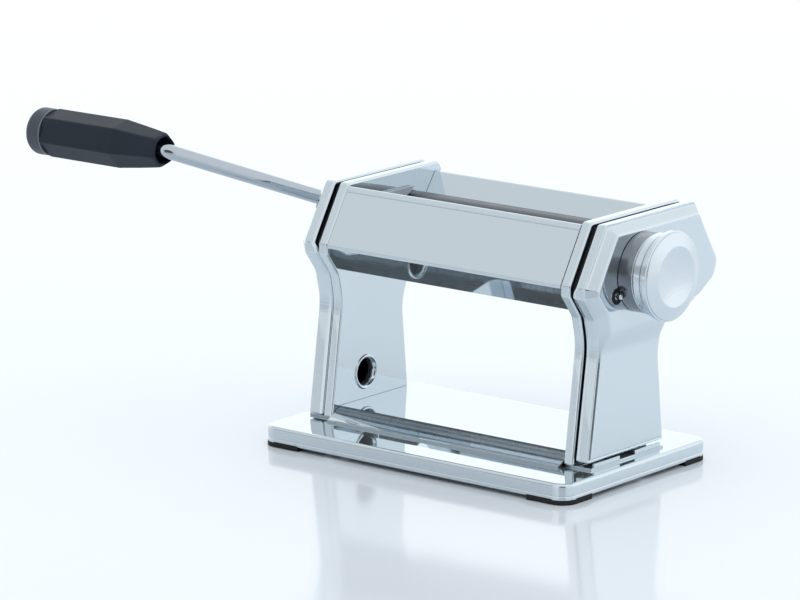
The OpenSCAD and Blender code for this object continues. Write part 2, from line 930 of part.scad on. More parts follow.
// The right slide also has a hole for the follower pin
module right_bearing_slide() {
    color("goldenrod")
        difference() {
            bearing_slide();
            bar_x([front_y - cam_start_r, axis_h], follower_r + run_gap, slide_in - over, slide_out + over);
        }
}

module slide_tie_bar() {
    color("darkgray")
        bar_x([tie_bar_y, tie_bar_z], tie_bar_r, -slide_out, slide_out);
}

module follower_pin() {
    color("gray")
        bar_x([front_y - cam_start_r, axis_h], follower_r, slide_in, cam_out - free_gap);
}

// A roller with its two journals
module roller(y, left_end, right_end) {
    turned_x([y, axis_h], [
        [0, -left_end],
        [journal_r, -left_end],
        [journal_r, -roller_len / 2],
        [roller_r - 0.5, -roller_len / 2],
        [roller_r, -roller_len / 2 + 0.5],
        [roller_r, roller_len / 2 - 0.5],
        [roller_r - 0.5, roller_len / 2],
        [journal_r, roller_len / 2],
        [journal_r, right_end],
        [0, right_end],
    ]);
}

module front_roller() {
    color("silver")
        roller(front_y, gear_out + 2 * clip_t, slide_out);
}

// The rear roller's left journal ends in the crank's six-sided socket
module rear_roller() {
    color("silver")
        difference() {
            roller(rear_y, shaft_end, slide_out);
            translate([-shaft_end - over, rear_y, axis_h])
                rotate([crank_rest, 0, 0])
                    rotate([0, 90, 0])
                        cylinder(r = hex_r + 2 * run_gap, h = socket_depth + 2 * over, $fn = 6);
        }
}

// Half the angle of a tooth at radius r, for an involute flank
function involute(a) = tan(a) * 180 / PI - a;
function flank_angle(r) =
    let (a = r > gear_base ? acos(gear_base / r) : 0)
    (90 - backlash / 2 / gear_r * 90 / PI * gear_teeth) / gear_teeth
        + involute(pressure_angle) - involute(a);
function polar(r, a) = [r * cos(a), r * sin(a)];

// Outline of a spur gear with a tooth on its first axis
function gear_points() =
    let (
        steps = 4,
        radii = [for (i = [0 : steps]) gear_root + (gear_tip - gear_root) * i / steps]
    )
    [for (i = [0 : gear_teeth - 1])
        let (mid = 360 * i / gear_teeth)
        each concat(
            [for (r = radii) polar(r, mid - flank_angle(r))],
            [for (k = [steps : -1 : 0]) polar(radii[k], mid + flank_angle(radii[k]))]
        )];

module spur_gear(y, phase) {
    difference() {
        translate([-gear_out, y, axis_h])
            rotate([phase, 0, 0])
                along_x(gear_points(), 0, gear_w);
        bar_x([y, axis_h], journal_r + run_gap, -gear_out - over, -gear_in + over);
    }
}

module front_gear() {
    color("dimgray")
        spur_gear(front_y, gear_teeth % 2 == 0 ? 180 / gear_teeth : 0);
}

module drive_gear() {
    color("dimgray")
        spur_gear(rear_y, 0);
}

// Retaining clip that keeps a gear on its journal
module gear_clip(y) {
    color("black")
        difference() {
            bar_x([y, axis_h], journal_r + 2.2, -gear_out - clip_t, -gear_out);
            bar_x([y, axis_h], journal_r + run_gap, -gear_out - clip_t - over, -gear_out + over);
        }
}

module front_gear_clip() { gear_clip(front_y); }
module drive_gear_clip() { gear_clip(rear_y); }

// Spiral slot of the cam: the follower moves out evenly as the cam turns
function cam_place(t, side) =
    polar(cam_start_r + nip_travel * t / knob_turn + side * cam_slot, 180 - t);

module regulator_cam() {
    steps = 36;
    spare = 4;
    turns = [for (i = [0 : steps]) -spare + (knob_turn + 2 * spare) * i / steps];
    slot = concat([for (t = turns) cam_place(t, 1)], [for (i = [steps : -1 : 0]) cam_place(turns[i], -1)]);
    color("slategray")
        translate([0, front_y, axis_h])
            difference() {
                bar_x([0, 0], cam_r, cam_in, cam_out);
                bar_x([0, 0], spindle_r + run_gap, cam_in - over, cam_out + over);
                along_x(slot, cam_in - over, cam_out + over);
                for (t = [-spare, knob_turn + spare])
                    bar_x(cam_place(t, 0), cam_slot, cam_in - over, cam_out + over);
            }
}

// Spindle with a thrust collar behind the bush
module regulator_spindle() {
    color("darkgray")
        turned_x([front_y, axis_h], [
            [0, cam_in],
            [spindle_r, cam_in],
            [spindle_r, cam_out],
            [spindle_r + 2, cam_out],
            [spindle_r + 2, spindle_bush_in - slide_gap],
            [spindle_r, spindle_bush_in - slide_gap],
            [spindle_r, retainer_in],
            [spindle_r - 1.5, retainer_in],
            [spindle_r - 1.5, spindle_end],
            [0, spindle_end],
        ]);
}

module spindle_retainer() {
    color("dimgray")
        difference() {
            bar_x([front_y, axis_h], spring_r + 1.2, retainer_in, spindle_end);
            bar_x([front_y, axis_h], spindle_r - 1.5 + run_gap, retainer_in - over, spindle_end + over);
        }
}

// Coil spring between the knob's hub and the retainer
module knob_spring() {
    rings = spring_turns * 10;
    sides = 6;
    start = hub_out + spring_wire / 2 + 0.1;
    run = retainer_in - hub_out - spring_wire - 0.2;
    points = [for (i = [0 : rings], k = [0 : sides - 1])
        let (
            a = 360 * spring_turns * i / rings,
            b = 360 * k / sides,
            r = spring_r + spring_wire / 2 * cos(b)
        )
        [start + run * i / rings + spring_wire / 2 * sin(b), r * cos(a), r * sin(a)]];
    skin = [for (i = [0 : rings - 1], k = [0 : sides - 1])
        let (
            p = i * sides + k,
            q = i * sides + (k + 1) % sides
        )
        each [[p, q, q + sides], [p, q + sides, p + sides]]];
    ends = [[for (k = [sides - 1 : -1 : 0]) k], [for (k = [0 : sides - 1]) rings * sides + k]];
    color("gray")
        translate([0, front_y, axis_h])
            polyhedron(points, concat(skin, ends));
}

// Hollow knob body: collar, groove and grip band, with a hub on the spindle
module regulator_knob() {
    collar_r = collar_d / 2;
    band_r = band_d / 2;
    bore = collar_r - knob_wall;
    color("silver")
        turned_x([front_y, axis_h], [
            [bore, knob_in],
            [collar_r - 0.4, knob_in],
            [collar_r, knob_in + 0.4],
            [collar_r, collar_out - 0.8],
            [collar_r - 0.7, collar_out - 0.4],
            [collar_r - 0.7, collar_out],
            [band_r - 0.5, collar_out],
            [band_r, collar_out + 0.5],
            [band_r, band_out],
            [bore, band_out],
            [bore, hub_out],
            [hub_r, hub_out],
            [spindle_r + run_gap, hub_out],
            [spindle_r + run_gap, hub_in],
            [hub_r, hub_in],
            [hub_r + 1, hub_in + 2.5],
            [bore, hub_in + 2.5],
        ]);
}

// Knob cap: a wide rim, a domed ring and a hollow dish, with a well for the spindle's end
module knob_cap() {
    rim_r = rim_d / 2;
    dish_r = dish_d / 2;
    bore = collar_d / 2 - knob_wall;
    well_r = bore - knob_wall;
    well_floor = knob_out - dish_depth - knob_wall / 2;
    shoulder = band_out + 1.8;
    steps = 6;
    ring_in = dish_r + 0.8;
    ring = [for (i = [0 : steps])
        let (t = 90 * i / steps)
        [ring_in + (rim_r - ring_in) * cos(t), shoulder + (knob_out - shoulder) * sin(t)]];
    dish = [for (i = [0 : steps])
        let (r = dish_r * (1 - i / steps))
        [r, knob_out - dish_depth * (1 - pow(r / dish_r, 2))]];
    color("silver")
        turned_x([front_y, axis_h], concat([
            [0, well_floor],
            [well_r, well_floor],
            [well_r, band_out - cap_spigot],
            [bore - run_gap, band_out - cap_spigot],
            [bore - run_gap, band_out],
            [band_d / 2, band_out],
            [rim_r - 0.6, band_out + 0.3],
            [rim_r, band_out + 0.9],
        ], ring, dish));
}

// Places a piece that is laid out with the crank arm upright, in the crank's turned place
module at_crank() {
    translate([0, rear_y, axis_h])
        rotate([crank_rest, 0, 0])
            children();
}

// A bend of the rod in the crank's plane, from one angle to another about its centre
module rod_bend(centre, from, to) {
    short = 2;
    translate([centre.x, 0, centre.y])
        rotate([90, 0, 0])
            rotate([0, 0, from + short])
                rotate_extrude(angle = to - from - 2 * short)
                    translate([bend_r, 0])
                        circle(rod_r);
    for (a = [from, to])
        translate([centre.x + bend_r * cos(a), 0, centre.y + bend_r * sin(a)])
            sphere(rod_r + joint_swell);
}

// Bent rod with a six-sided end, a first bend, the slanted arm and a second bend
module crank_rod() {
    arm = [bend_r * sin(crank_slant), bend_r * (1 - cos(crank_slant))];
    color("lightgray")
        at_crank() {
            bar_x([0, 0], hex_r, -shaft_end - collar_t, -shaft_end + socket_depth, 6);
            bar_x([0, 0], rod_r, -first_bend, -shaft_end);
            rod_bend([-first_bend, bend_r], -90 - crank_slant, -90);
            translate([-first_bend - arm.x, 0, arm.y])
                rotate([0, crank_slant - 90, 0])
                    cylinder(r = rod_r, h = arm_len);
            rod_bend([-second_bend, crank_r - bend_r], 90 - crank_slant, 90);
            bar_x([0, crank_r], rod_r, -rod_end, -second_bend);
        }
}

// Stop collar that sits against the socket
module crank_collar() {
    color("silver")
        at_crank()
            difference() {
                bar_x([0, 0], rod_r + 3, -shaft_end - slide_gap - collar_t, -shaft_end - slide_gap);
                bar_x([0, 0], rod_r + run_gap, -shaft_end - collar_t - over, -shaft_end + over);
            }
}

// Washer riveted on the rod's end, inside the grip's cap
module grip_washer() {
    x0 = -grip_out - slide_gap;
    color("silver")
        at_crank()
            difference() {
                bar_x([0, crank_r], grip_washer_r, x0 - grip_washer_t, x0);
                bar_x([0, crank_r], rod_r + run_gap, x0 - grip_washer_t - over, x0 + over);
            }
}

// Six-sided grip with a tapered mouth
module grip_sleeve() {
    recess = mouth_depth + 2.5;
    color("#26282d")
        at_crank()
            translate([-grip_in, 0, crank_r])
                rotate([0, -90, 0])
                    difference() {
                        rotate([0, 0, grip_turn]) {
                            cylinder(d1 = mouth_d, d2 = grip_d, h = taper_l, $fn = 6);
                            translate([0, 0, taper_l])
                                cylinder(d = grip_d, h = barrel_l, $fn = 6);
                        }
                        translate([0, 0, -over])
                            cylinder(r = rod_r + grip_gap, h = taper_l + barrel_l + 2 * over);
                        translate([0, 0, -over])
                            cylinder(r = mouth_d / 2 - 2.2, h = recess + over);
                    }
}

// Rounded end cap of the grip, hollow for the washer
module grip_cap() {
    cap_r = grip_d / 2 - 0.4;
    nose = 4;
    steps = 5;
    inner_r = grip_washer_r + 2 * free_gap;
    inner_l = cap_l / 2;
    round_end = [for (i = [0 : steps])
        let (t = 90 * i / steps)
        [cap_r - nose + nose * cos(t), cap_l - nose + nose * sin(t)]];
    color("#1d1f23")
        at_crank()
            translate([-grip_out, 0, crank_r])
                rotate([0, -90, 0])
                    rotate_extrude()
                        polygon(concat(
                            [[inner_r, 0], [cap_r, 0]],
                            round_end,
                            [[0, cap_l], [0, inner_l], [inner_r, inner_l]]
                        ));
}

base_tray();
base_bridge();
foot_front_left();
foot_front_right();
foot_rear_left();
foot_rear_right();
base_screws();
left_inner_shell();
left_outer_shell();
right_inner_shell();
right_outer_shell();
leg_spacers();
front_tie_rod();
rear_upper_tie_rod();
rear_lower_tie_rod();
tie_rod_nuts();
front_cover();
rear_cover();
hopper_guide();
dough_guide_left();
dough_guide_right();
front_scraper();
rear_scraper();
rear_bush_left();
rear_bush_right();
socket_bush();
spindle_bush();
index_peg();
left_guide_rails();
right_guide_rails();
left_bearing_slide();
right_bearing_slide();
slide_tie_bar();
follower_pin();
front_roller();
front_gear();
front_gear_clip();
rear_roller();
drive_gear();
drive_gear_clip();
regulator_spindle();
regulator_cam();
spindle_retainer();
knob_spring();
regulator_knob();
knob_cap();
crank_rod();
crank_collar();
grip_washer();
grip_sleeve();
grip_cap();
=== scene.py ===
"""Looks of a hand cranked pasta machine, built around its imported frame.

Shapes are worked out in millimetres with numpy and put into meshes in metres.
X runs along the rollers to the knob, -Y is the front and Z is up from the table.
"""

import json
import logging
import math
from collections.abc import Callable
from dataclasses import dataclass, field
from enum import Enum

import bmesh
import bpy
import numpy as np
import numpy.typing as npt
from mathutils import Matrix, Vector


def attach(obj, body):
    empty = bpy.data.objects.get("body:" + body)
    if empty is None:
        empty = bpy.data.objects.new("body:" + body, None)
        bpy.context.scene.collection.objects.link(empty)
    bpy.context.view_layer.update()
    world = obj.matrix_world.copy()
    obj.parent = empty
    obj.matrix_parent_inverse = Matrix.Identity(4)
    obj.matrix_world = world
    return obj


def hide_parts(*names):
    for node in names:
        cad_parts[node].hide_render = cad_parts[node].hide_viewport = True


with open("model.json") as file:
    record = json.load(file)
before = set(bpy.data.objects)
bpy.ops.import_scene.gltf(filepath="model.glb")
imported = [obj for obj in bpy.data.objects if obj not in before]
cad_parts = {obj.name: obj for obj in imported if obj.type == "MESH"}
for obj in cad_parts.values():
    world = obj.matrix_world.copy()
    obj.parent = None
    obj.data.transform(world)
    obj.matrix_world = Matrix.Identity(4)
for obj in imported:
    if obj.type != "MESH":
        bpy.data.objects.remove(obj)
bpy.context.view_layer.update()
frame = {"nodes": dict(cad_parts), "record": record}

LOG = logging.getLogger("pasta_machine")
MM = 0.001
LEAST_RADIUS = 0.3
Array = npt.NDArray[np.float64]
Index = npt.NDArray[np.int64]
Pair = tuple[float, float]
Colour = tuple[float, float, float, float]
Values = dict[str, float | Colour]


class Side(Enum):
    """The two ends of the machine, by the sign of X."""

    LEFT = -1
    RIGHT = 1


# Plane geometry


def unit(v: Array) -> Array:
    """Vectors along the last axis, divided by their lengths."""
    return v / np.linalg.norm(v, axis=-1, keepdims=True)


def left_of(v: Array) -> Array:
    """Plane vectors turned a quarter to the left: (a, b) becomes (-b, a)."""
    return np.stack([-v[..., 1], v[..., 0]], axis=-1)


def mitre(a: Array, b: Array) -> Array:
    """Way to a mitred corner for two unit normals: their sum over one plus their dot product."""
    return (a + b) / (1 + (a * b).sum(axis=1, keepdims=True))


def corner_arcs(before: Array, at: Array, after: Array, radius: Array, steps: int) -> Array:
    """Arcs that round polygon corners, each tangent to both edges.

    The tangent points lie radius * tan(bend / 2) from the corner, and the spoke from the arc's
    centre turns through the bend.

    Args:
        before: Points before the corners, (n, 2).
        at: The corners.
        after: Points after the corners.
        radius: One radius for each corner.
        steps: Segments in each arc.

    Returns:
        Arc points, (n, steps + 1, 2).
    """
    u, w = unit(at - before), unit(after - at)
    bend = np.arctan2(u[:, 0] * w[:, 1] - u[:, 1] * w[:, 0], (u * w).sum(axis=1))
    start = at - u * (radius * np.tan(np.abs(bend) / 2))[:, None]
    centre = start + left_of(u) * (np.sign(bend) * radius)[:, None]
    spoke = (start - centre)[:, None, :]
    t = bend[:, None] * np.linspace(0, 1, steps + 1)
    c, s = np.cos(t)[..., None], np.sin(t)[..., None]
    return centre[:, None, :] + spoke * c + left_of(spoke) * s


def closed_arcs(corners: Array, steps: int) -> Array:
    """Arcs at every corner of a closed outline of rows [a, b, radius]."""
    p = corners[:, :2]
    return corner_arcs(np.roll(p, 1, axis=0), p, np.roll(p, -1, axis=0), corners[:, 2], steps)


def rounded_path(rows: list[list[float]], steps: int = 6) -> Array:
    """An open path with its inner corners rounded.

    Args:
        rows: Corners [a, b, radius].
        steps: Segments in each rounded corner.

    Returns:
        Points of the path, (m, 2).
    """
    corners = np.array(rows, float)
    p = corners[:, :2]
    arcs = corner_arcs(p[:-2], p[1:-1], p[2:], corners[1:-1, 2], steps)
    return np.concatenate([p[:1], arcs.reshape(-1, 2), p[-1:]])


def offset_path(path: Array, shift: float) -> Array:
    """An open path of points, (n, 2), shifted to its left with mitred corners."""
    normal = left_of(unit(np.diff(path, axis=0)))
    return path + shift * mitre(np.concatenate([normal[:1], normal]), np.concatenate([normal, normal[-1:]]))


def inset_corners(corners: Array, d: float) -> Array:
    """Corners of a closed left-turning outline moved inwards, with radii to match.

    Args:
        corners: Rows of [y, z, radius].
        d: Inset.

    Returns:
        Rows of [y, z, radius].
    """
    p = corners[:, :2]
    u = unit(p - np.roll(p, 1, axis=0))
    w = unit(np.roll(p, -1, axis=0) - p)
    convex = u[:, 0] * w[:, 1] - u[:, 1] * w[:, 0] > 0
    radius = np.where(convex, np.maximum(corners[:, 2] - d, LEAST_RADIUS), corners[:, 2] + d)
    return np.column_stack([p + d * mitre(left_of(u), left_of(w)), radius])


def eased(z: Array, span: Pair, a: float, b: float) -> Array:
    """A cosine step from a below the span to b above it."""
    t = np.clip((z - span[0]) / (span[1] - span[0]), 0, 1)
    return a + (b - a) * (1 - np.cos(np.pi * t)) / 2


def soft_min(a: Array, b: Array, blend: float) -> Array:
    """The smaller of two heights with a fillet: -blend * log(exp(-a / blend) + exp(-b / blend))."""
    low = np.minimum(a, b)
    return low - blend * np.log(np.exp((low - a) / blend) + np.exp((low - b) / blend))


def yz_points(x: Array | float, plane: Array) -> Array:
    """Points in space from an X place and points of the YZ plane."""
    column = np.broadcast_to(np.asarray(x, float)[..., None], plane.shape[:-1] + (1,))
    return np.concatenate([column, plane], -1)


def turns(parts: int) -> Array:
    """Angles of a full turn in equal parts."""
    return np.linspace(0, 2 * np.pi, parts, endpoint=False)


# Finishes


def new_group(name: str, inputs: Values, outputs: dict[str, str]) -> bpy.types.NodeTree:
    """An empty shader node group with named sockets.

    Args:
        name: The group's name.
        inputs: Input names and their default values.
        outputs: Output names and their socket types.

    Returns:
        The group, with its input and output nodes.
    """
    tree = bpy.data.node_groups.new(name, "ShaderNodeTree")
    for key, value in inputs.items():
        kind = "NodeSocketFloat" if isinstance(value, float) else "NodeSocketColor"
        tree.interface.new_socket(key, in_out="INPUT", socket_type=kind).default_value = value
    for key, kind in outputs.items():
        tree.interface.new_socket(key, in_out="OUTPUT", socket_type=kind)
    tree.nodes.new("NodeGroupInput")
    tree.nodes.new("NodeGroupOutput")
    return tree


def surface_group(name: str, detail: Pair, reach: Pair, tinted: bool) -> bpy.types.NodeTree:
    """Group of a surface: a cloud noise sets the gloss and any tint, and a relief noise the height.

    Args:
        name: The group's name.
        detail: Detail of the cloud and of the relief.
        reach: Values of the cloud that give the lowest and the highest roughness.
        tinted: The cloud also mixes two colours.

    Returns:
        The group, made once.
    """
    if name in bpy.data.node_groups:
        return bpy.data.node_groups[name]
    inputs = {"Cloud Scale": 40.0, "Relief Scale": 40.0, "Low": 0.0, "High": 1.0}
    outputs = {"Roughness": "NodeSocketFloat", "Height": "NodeSocketFloat"}
    if tinted:
        inputs |= {"Dark": (0.0, 0.0, 0.0, 1.0), "Light": (1.0, 1.0, 1.0, 1.0)}
        outputs["Color"] = "NodeSocketColor"
    tree = new_group(name, inputs, outputs)
    nodes, links = tree.nodes, tree.links
    source, sink = nodes["Group Input"], nodes["Group Output"]
    coords = nodes.new("ShaderNodeTexCoord")
    cloud, relief = nodes.new("ShaderNodeTexNoise"), nodes.new("ShaderNodeTexNoise")
    for texture, key, fineness in ((cloud, "Cloud Scale", detail[0]), (relief, "Relief Scale", detail[1])):
        texture.inputs["Detail"].default_value = fineness
        links.new(coords.outputs["Object"], texture.inputs["Vector"])
        links.new(source.outputs[key], texture.inputs["Scale"])
    span = nodes.new("ShaderNodeMapRange")
    span.inputs["From Min"].default_value, span.inputs["From Max"].default_value = reach
    links.new(cloud.outputs["Fac"], span.inputs["Value"])
    links.new(source.outputs["Low"], span.inputs["To Min"])
    links.new(source.outputs["High"], span.inputs["To Max"])
    links.new(span.outputs["Result"], sink.inputs["Roughness"])
    links.new(relief.outputs["Fac"], sink.inputs["Height"])
    if tinted:
        mix = nodes.new("ShaderNodeMix")
        mix.data_type = "RGBA"
        links.new(cloud.outputs["Fac"], mix.inputs["Factor"])
        links.new(source.outputs["Dark"], mix.inputs["A"])
        links.new(source.outputs["Light"], mix.inputs["B"])
        links.new(mix.outputs["Result"], sink.inputs["Color"])
    return tree


@dataclass(frozen=True)
class Finish:
    """A finish with a name; each kind says what its shader and its surface group are set to."""

    name: str

    def constants(self) -> Values:
        """Values of the shader's own sockets."""
        raise NotImplementedError

    def surface(self) -> tuple[bpy.types.NodeTree, Values, Pair]:
        """The surface group, values of its inputs, and the bump's strength and depth in millimetres."""
        raise NotImplementedError

    def material(self) -> bpy.types.Material:
        """The finish's material, made once: its surface group feeds the gloss, the normal and any tint.

        Returns:
            The material.
        """
        found = bpy.data.materials.get(self.name)
        if found:
            return found
        made = bpy.data.materials.new(self.name)
        made.use_nodes = True
        nodes, links = made.node_tree.nodes, made.node_tree.links
        shader = nodes["Principled BSDF"]
        surface, relief = nodes.new("ShaderNodeGroup"), nodes.new("ShaderNodeBump")
        surface.node_tree, values, (strength, depth) = self.surface()
        bump = {"Strength": strength, "Distance": depth * MM}
        for node, settings in ((shader, self.constants()), (surface, values), (relief, bump)):
            for key, value in settings.items():
                node.inputs[key].default_value = value
        links.new(surface.outputs["Height"], relief.inputs["Height"])
        links.new(relief.outputs["Normal"], shader.inputs["Normal"])
        links.new(surface.outputs["Roughness"], shader.inputs["Roughness"])
        if "Color" in surface.outputs:
            links.new(surface.outputs["Color"], shader.inputs["Base Color"])
        return made


@dataclass(frozen=True)
class PolishedMetal(Finish):
    """Plated or polished metal with a little haze and a slow ripple."""

    colour: Colour
    low: float
    high: float
    haze: float = 40.0
    ripple: float = 18.0
    bump: Pair = (0.3, 0.02)
    metallic: float = 1.0

    def constants(self) -> Values:
        """Values of the metallic shader's own sockets."""
        return {"Metallic": self.metallic, "Base Color": self.colour}

    def surface(self) -> tuple[bpy.types.NodeTree, Values, Pair]:
        """The polish group with the finish's haze and ripple."""
        values = {"Cloud Scale": self.haze, "Relief Scale": self.ripple, "Low": self.low, "High": self.high}
        return surface_group("polish", (3, 0), (0.35, 0.7), False), values, self.bump


@dataclass(frozen=True)
class Moulded(Finish):
    """Moulded plastic, rubber or sintered metal: two close colours in clouds, and a fine grain."""

    dark: Colour
    light: Colour
    low: float
    high: float
    grain: float = 900.0
    grain_depth: float = 0.03
    metallic: float = 0.0
    specular: float = 0.5
    cloud: float = 60.0
    strength: float = 0.25

    def constants(self) -> Values:
        """Values of the shader's own sockets; its colour comes from the clouds."""
        return {"Metallic": self.metallic, "Specular IOR Level": self.specular}

    def surface(self) -> tuple[bpy.types.NodeTree, Values, Pair]:
        """The grain group with the finish's colours and grain."""
        values = {"Cloud Scale": self.cloud, "Relief Scale": self.grain, "Low": self.low, "High": self.high,
                  "Dark": self.dark, "Light": self.light}
        return surface_group("moulded_grain", (4, 2), (0, 1), True), values, (self.strength, self.grain_depth)


SHEET = PolishedMetal("chromed_sheet", (0.655, 0.725, 0.77, 1), 0.015, 0.05, metallic=0.88)
# Near-black finish of the pressings' inner faces and of the inner rim's step: painted shade of the gaps
# between the rims and inside the shells.
PAINTED_SHADE_SHEET = PolishedMetal("painted_shade_sheet", (0.04, 0.046, 0.053, 1), 0.4, 0.55)
TURNED = PolishedMetal("chromed_turning", (0.67, 0.73, 0.775, 1), 0.03, 0.08, 70.0, 30.0, metallic=0.94)
# Near-black rollers: painted shade of the shadowed gap behind the front hem.
ROLLER_PAINTED_SHADE = PolishedMetal("roller_painted_shade", (0.085, 0.093, 0.105, 1), 0.2, 0.3, 60.0, metallic=0.9)
ROD = PolishedMetal("chromed_rod", (0.47, 0.515, 0.56, 1), 0.03, 0.09, 90.0, 45.0)
STEEL = PolishedMetal("plain_steel", (0.48, 0.49, 0.51, 1), 0.22, 0.38, 120.0, 200.0, metallic=0.5)
SCALE = Moulded(
    "satin_scale_ring", (0.12, 0.135, 0.15, 1), (0.4, 0.43, 0.47, 1), 0.14, 0.26, 220.0, 0.01, metallic=0.85)
BRONZE = Moulded(
    "sintered_bronze", (0.42, 0.3, 0.15, 1), (0.55, 0.41, 0.22, 1), 0.35, 0.5, 1500.0, metallic=1.0)
BUSH = Moulded("bush_plastic", (0.44, 0.5, 0.58, 1), (0.52, 0.58, 0.66, 1), 0.38, 0.5)
RUBBER = Moulded(
    "foot_rubber", (0.008, 0.008, 0.009, 1), (0.02, 0.02, 0.022, 1), 0.55, 0.75, 1200.0, 0.06, specular=0.3)
GRIP = Moulded(
    "grip_plastic", (0.015, 0.021, 0.033, 1), (0.022, 0.03, 0.045, 1), 0.42, 0.52, 1400.0, 0.02, specular=0.2)
CAP = Moulded(
    "grip_cap_plastic", (0.06, 0.072, 0.09, 1), (0.075, 0.088, 0.11, 1), 0.4, 0.5, 1400.0, 0.02, specular=0.3)
# Lighter ring on the grip cap's front edge: a painted highlight along the seam with the sleeve.
CAP_EDGE_HIGHLIGHT = Moulded("painted_highlight_cap_edge", (0.2, 0.225, 0.26, 1), (0.27, 0.3, 0.34, 1), 0.25, 0.35, 1400.0, 0.01)


# Meshes


@dataclass
class Skin:
    """Grids of points in millimetres that are sewn into one mesh."""

    points: list[Array] = field(default_factory=list)
    faces: list[list[int]] = field(default_factory=list)
    lined: list[int] = field(default_factory=list)
    count: int = 0

    def grid(self, p: Array, around: bool = False, along: bool = False, lining: bool = False) -> None:
        """Adds a grid of quads.

        Args:
            p: Points, (rows, columns, 3).
            around: Joins the last column to the first.
            along: Joins the last row to the first.
            lining: The faces take the piece's second finish.
        """
        rows, cols = p.shape[:2]
        index: Index = self.count + np.arange(rows * cols).reshape(rows, cols)
        index = np.vstack([index, index[:1]]) if along else index
        index = np.hstack([index, index[:, :1]]) if around else index
        quads = np.stack([index[:-1, :-1], index[:-1, 1:], index[1:, 1:], index[1:, :-1]], -1)
        self.points.append(p.reshape(-1, 3))
        self.faces.extend(quads.reshape(-1, 4).tolist())
        self.lined.extend([int(lining)] * (len(self.faces) - len(self.lined)))
        self.count += rows * cols

    def cap(self, loop: Array) -> None:
        """Adds one flat face over a loop of points.

        Args:
            loop: Points, (n, 3).
        """
        self.points.append(loop)
        self.faces.append(list(range(self.count, self.count + len(loop))))
        self.lined.append(0)
        self.count += len(loop)

    def rod(self, rings: Array) -> None:
        """Adds a tube with flat ends.

        Args:
            rings: Points, (rings, n, 3).
        """
        self.grid(rings, around=True)
        for end in (rings[0], rings[-1]):
            self.cap(end)

    def strip(self, path: Array, shift: float, half: float) -> "Skin":
        """Adds a bent sheet that runs along X: its two faces, its long edges and its two ends.

        Args:
            path: Points of one face's path in the YZ plane, (n, 2).
            shift: How far to the left of that path the other face lies.
            half: Half of the sheet's length.

        Returns:
            The skin itself.
        """
        other = offset_path(path, shift)
        ring = np.concatenate([path, other[::-1]])
        self.grid(yz_points(np.array([[-half], [half]]), np.stack([ring, ring])), around=True)
        for x in (-half, half):
            self.grid(yz_points(x, np.stack([path, other])))
        return self

    def turned(self, place: Pair, profile: Array, closed: bool, parts: int = 128) -> "Skin":
        """Adds a surface of revolution about an axis along X.

        A point is (x, y + r cos t, z + r sin t) for each [r, x] of the profile and each turn t.

        Args:
            place: Y and Z of the axis.
            profile: Rows of [radius, x].
            closed: Joins the profile's end to its start.
            parts: Segments round the axis.

        Returns:
            The skin itself.
        """
        t = turns(parts)
        r, x = profile[:, :1], profile[:, 1:]
        y, z = place[0] + r * np.cos(t), place[1] + r * np.sin(t)
        self.grid(np.stack([np.broadcast_to(x, y.shape), y, z], -1), around=True, along=closed)
        return self

    def block(self, low: tuple[float, float, float], high: tuple[float, float, float]) -> None:
        """Adds a closed box.

        Args:
            low: Its lowest corner.
            high: Its highest corner.
        """
        x, y = np.array([low[0], high[0]]), np.array([low[1], high[1]])
        flat = np.column_stack([x[[0, 1, 1, 0]], y[[0, 0, 1, 1]]])
        self.rod(np.stack([np.column_stack([flat, np.full(4, z)]) for z in (low[2], high[2])]))

    def mirror(self, side: Side) -> "Skin":
        """Turns a right-hand shape into the one for a side, and gives the skin itself."""
        self.points = [p * np.array([side.value, 1, 1]) for p in self.points]
        return self

    def build(self, name: str) -> bpy.types.Object:
        """Makes the mesh object, with doubles merged and faces turned outwards.

        Args:
            name: The piece's name.

        Returns:
            The object, linked to the scene.
        """
        mesh = bpy.data.meshes.new(name)
        mesh.from_pydata((np.concatenate(self.points) * MM).tolist(), [], self.faces)
        mesh.polygons.foreach_set("material_index", self.lined)
        work = bmesh.new()
        work.from_mesh(mesh)
        bmesh.ops.remove_doubles(work, verts=work.verts, dist=2e-7)
        bmesh.ops.recalc_face_normals(work, faces=work.faces)
        work.to_mesh(mesh)
        work.free()
        made = bpy.data.objects.new(name, mesh)
        bpy.context.scene.collection.objects.link(made)
        return made


def cut_away(target: bpy.types.Object, tools: list[bpy.types.Object]) -> None:
    """Cuts tool solids out of a piece and removes the tools.

    Args:
        target: The piece that keeps the result.
        tools: Closed solids.
    """
    for tool in tools:
        step = target.modifiers.new("cut", "BOOLEAN")
        step.operation, step.object, step.solver = "DIFFERENCE", tool, "EXACT"
        step.use_hole_tolerant = True
    graph = bpy.context.evaluated_depsgraph_get()
    result = bpy.data.meshes.new_from_object(target.evaluated_get(graph))
    target.modifiers.clear()
    target.data = result
    for tool in tools:
        bpy.data.objects.remove(tool)


@dataclass(frozen=True)
class Place:
    """Where a finished piece belongs: its body, its record slot and the nodes it stands for."""

    body: str
    slot: str
    nodes: tuple[str, ...] = ()


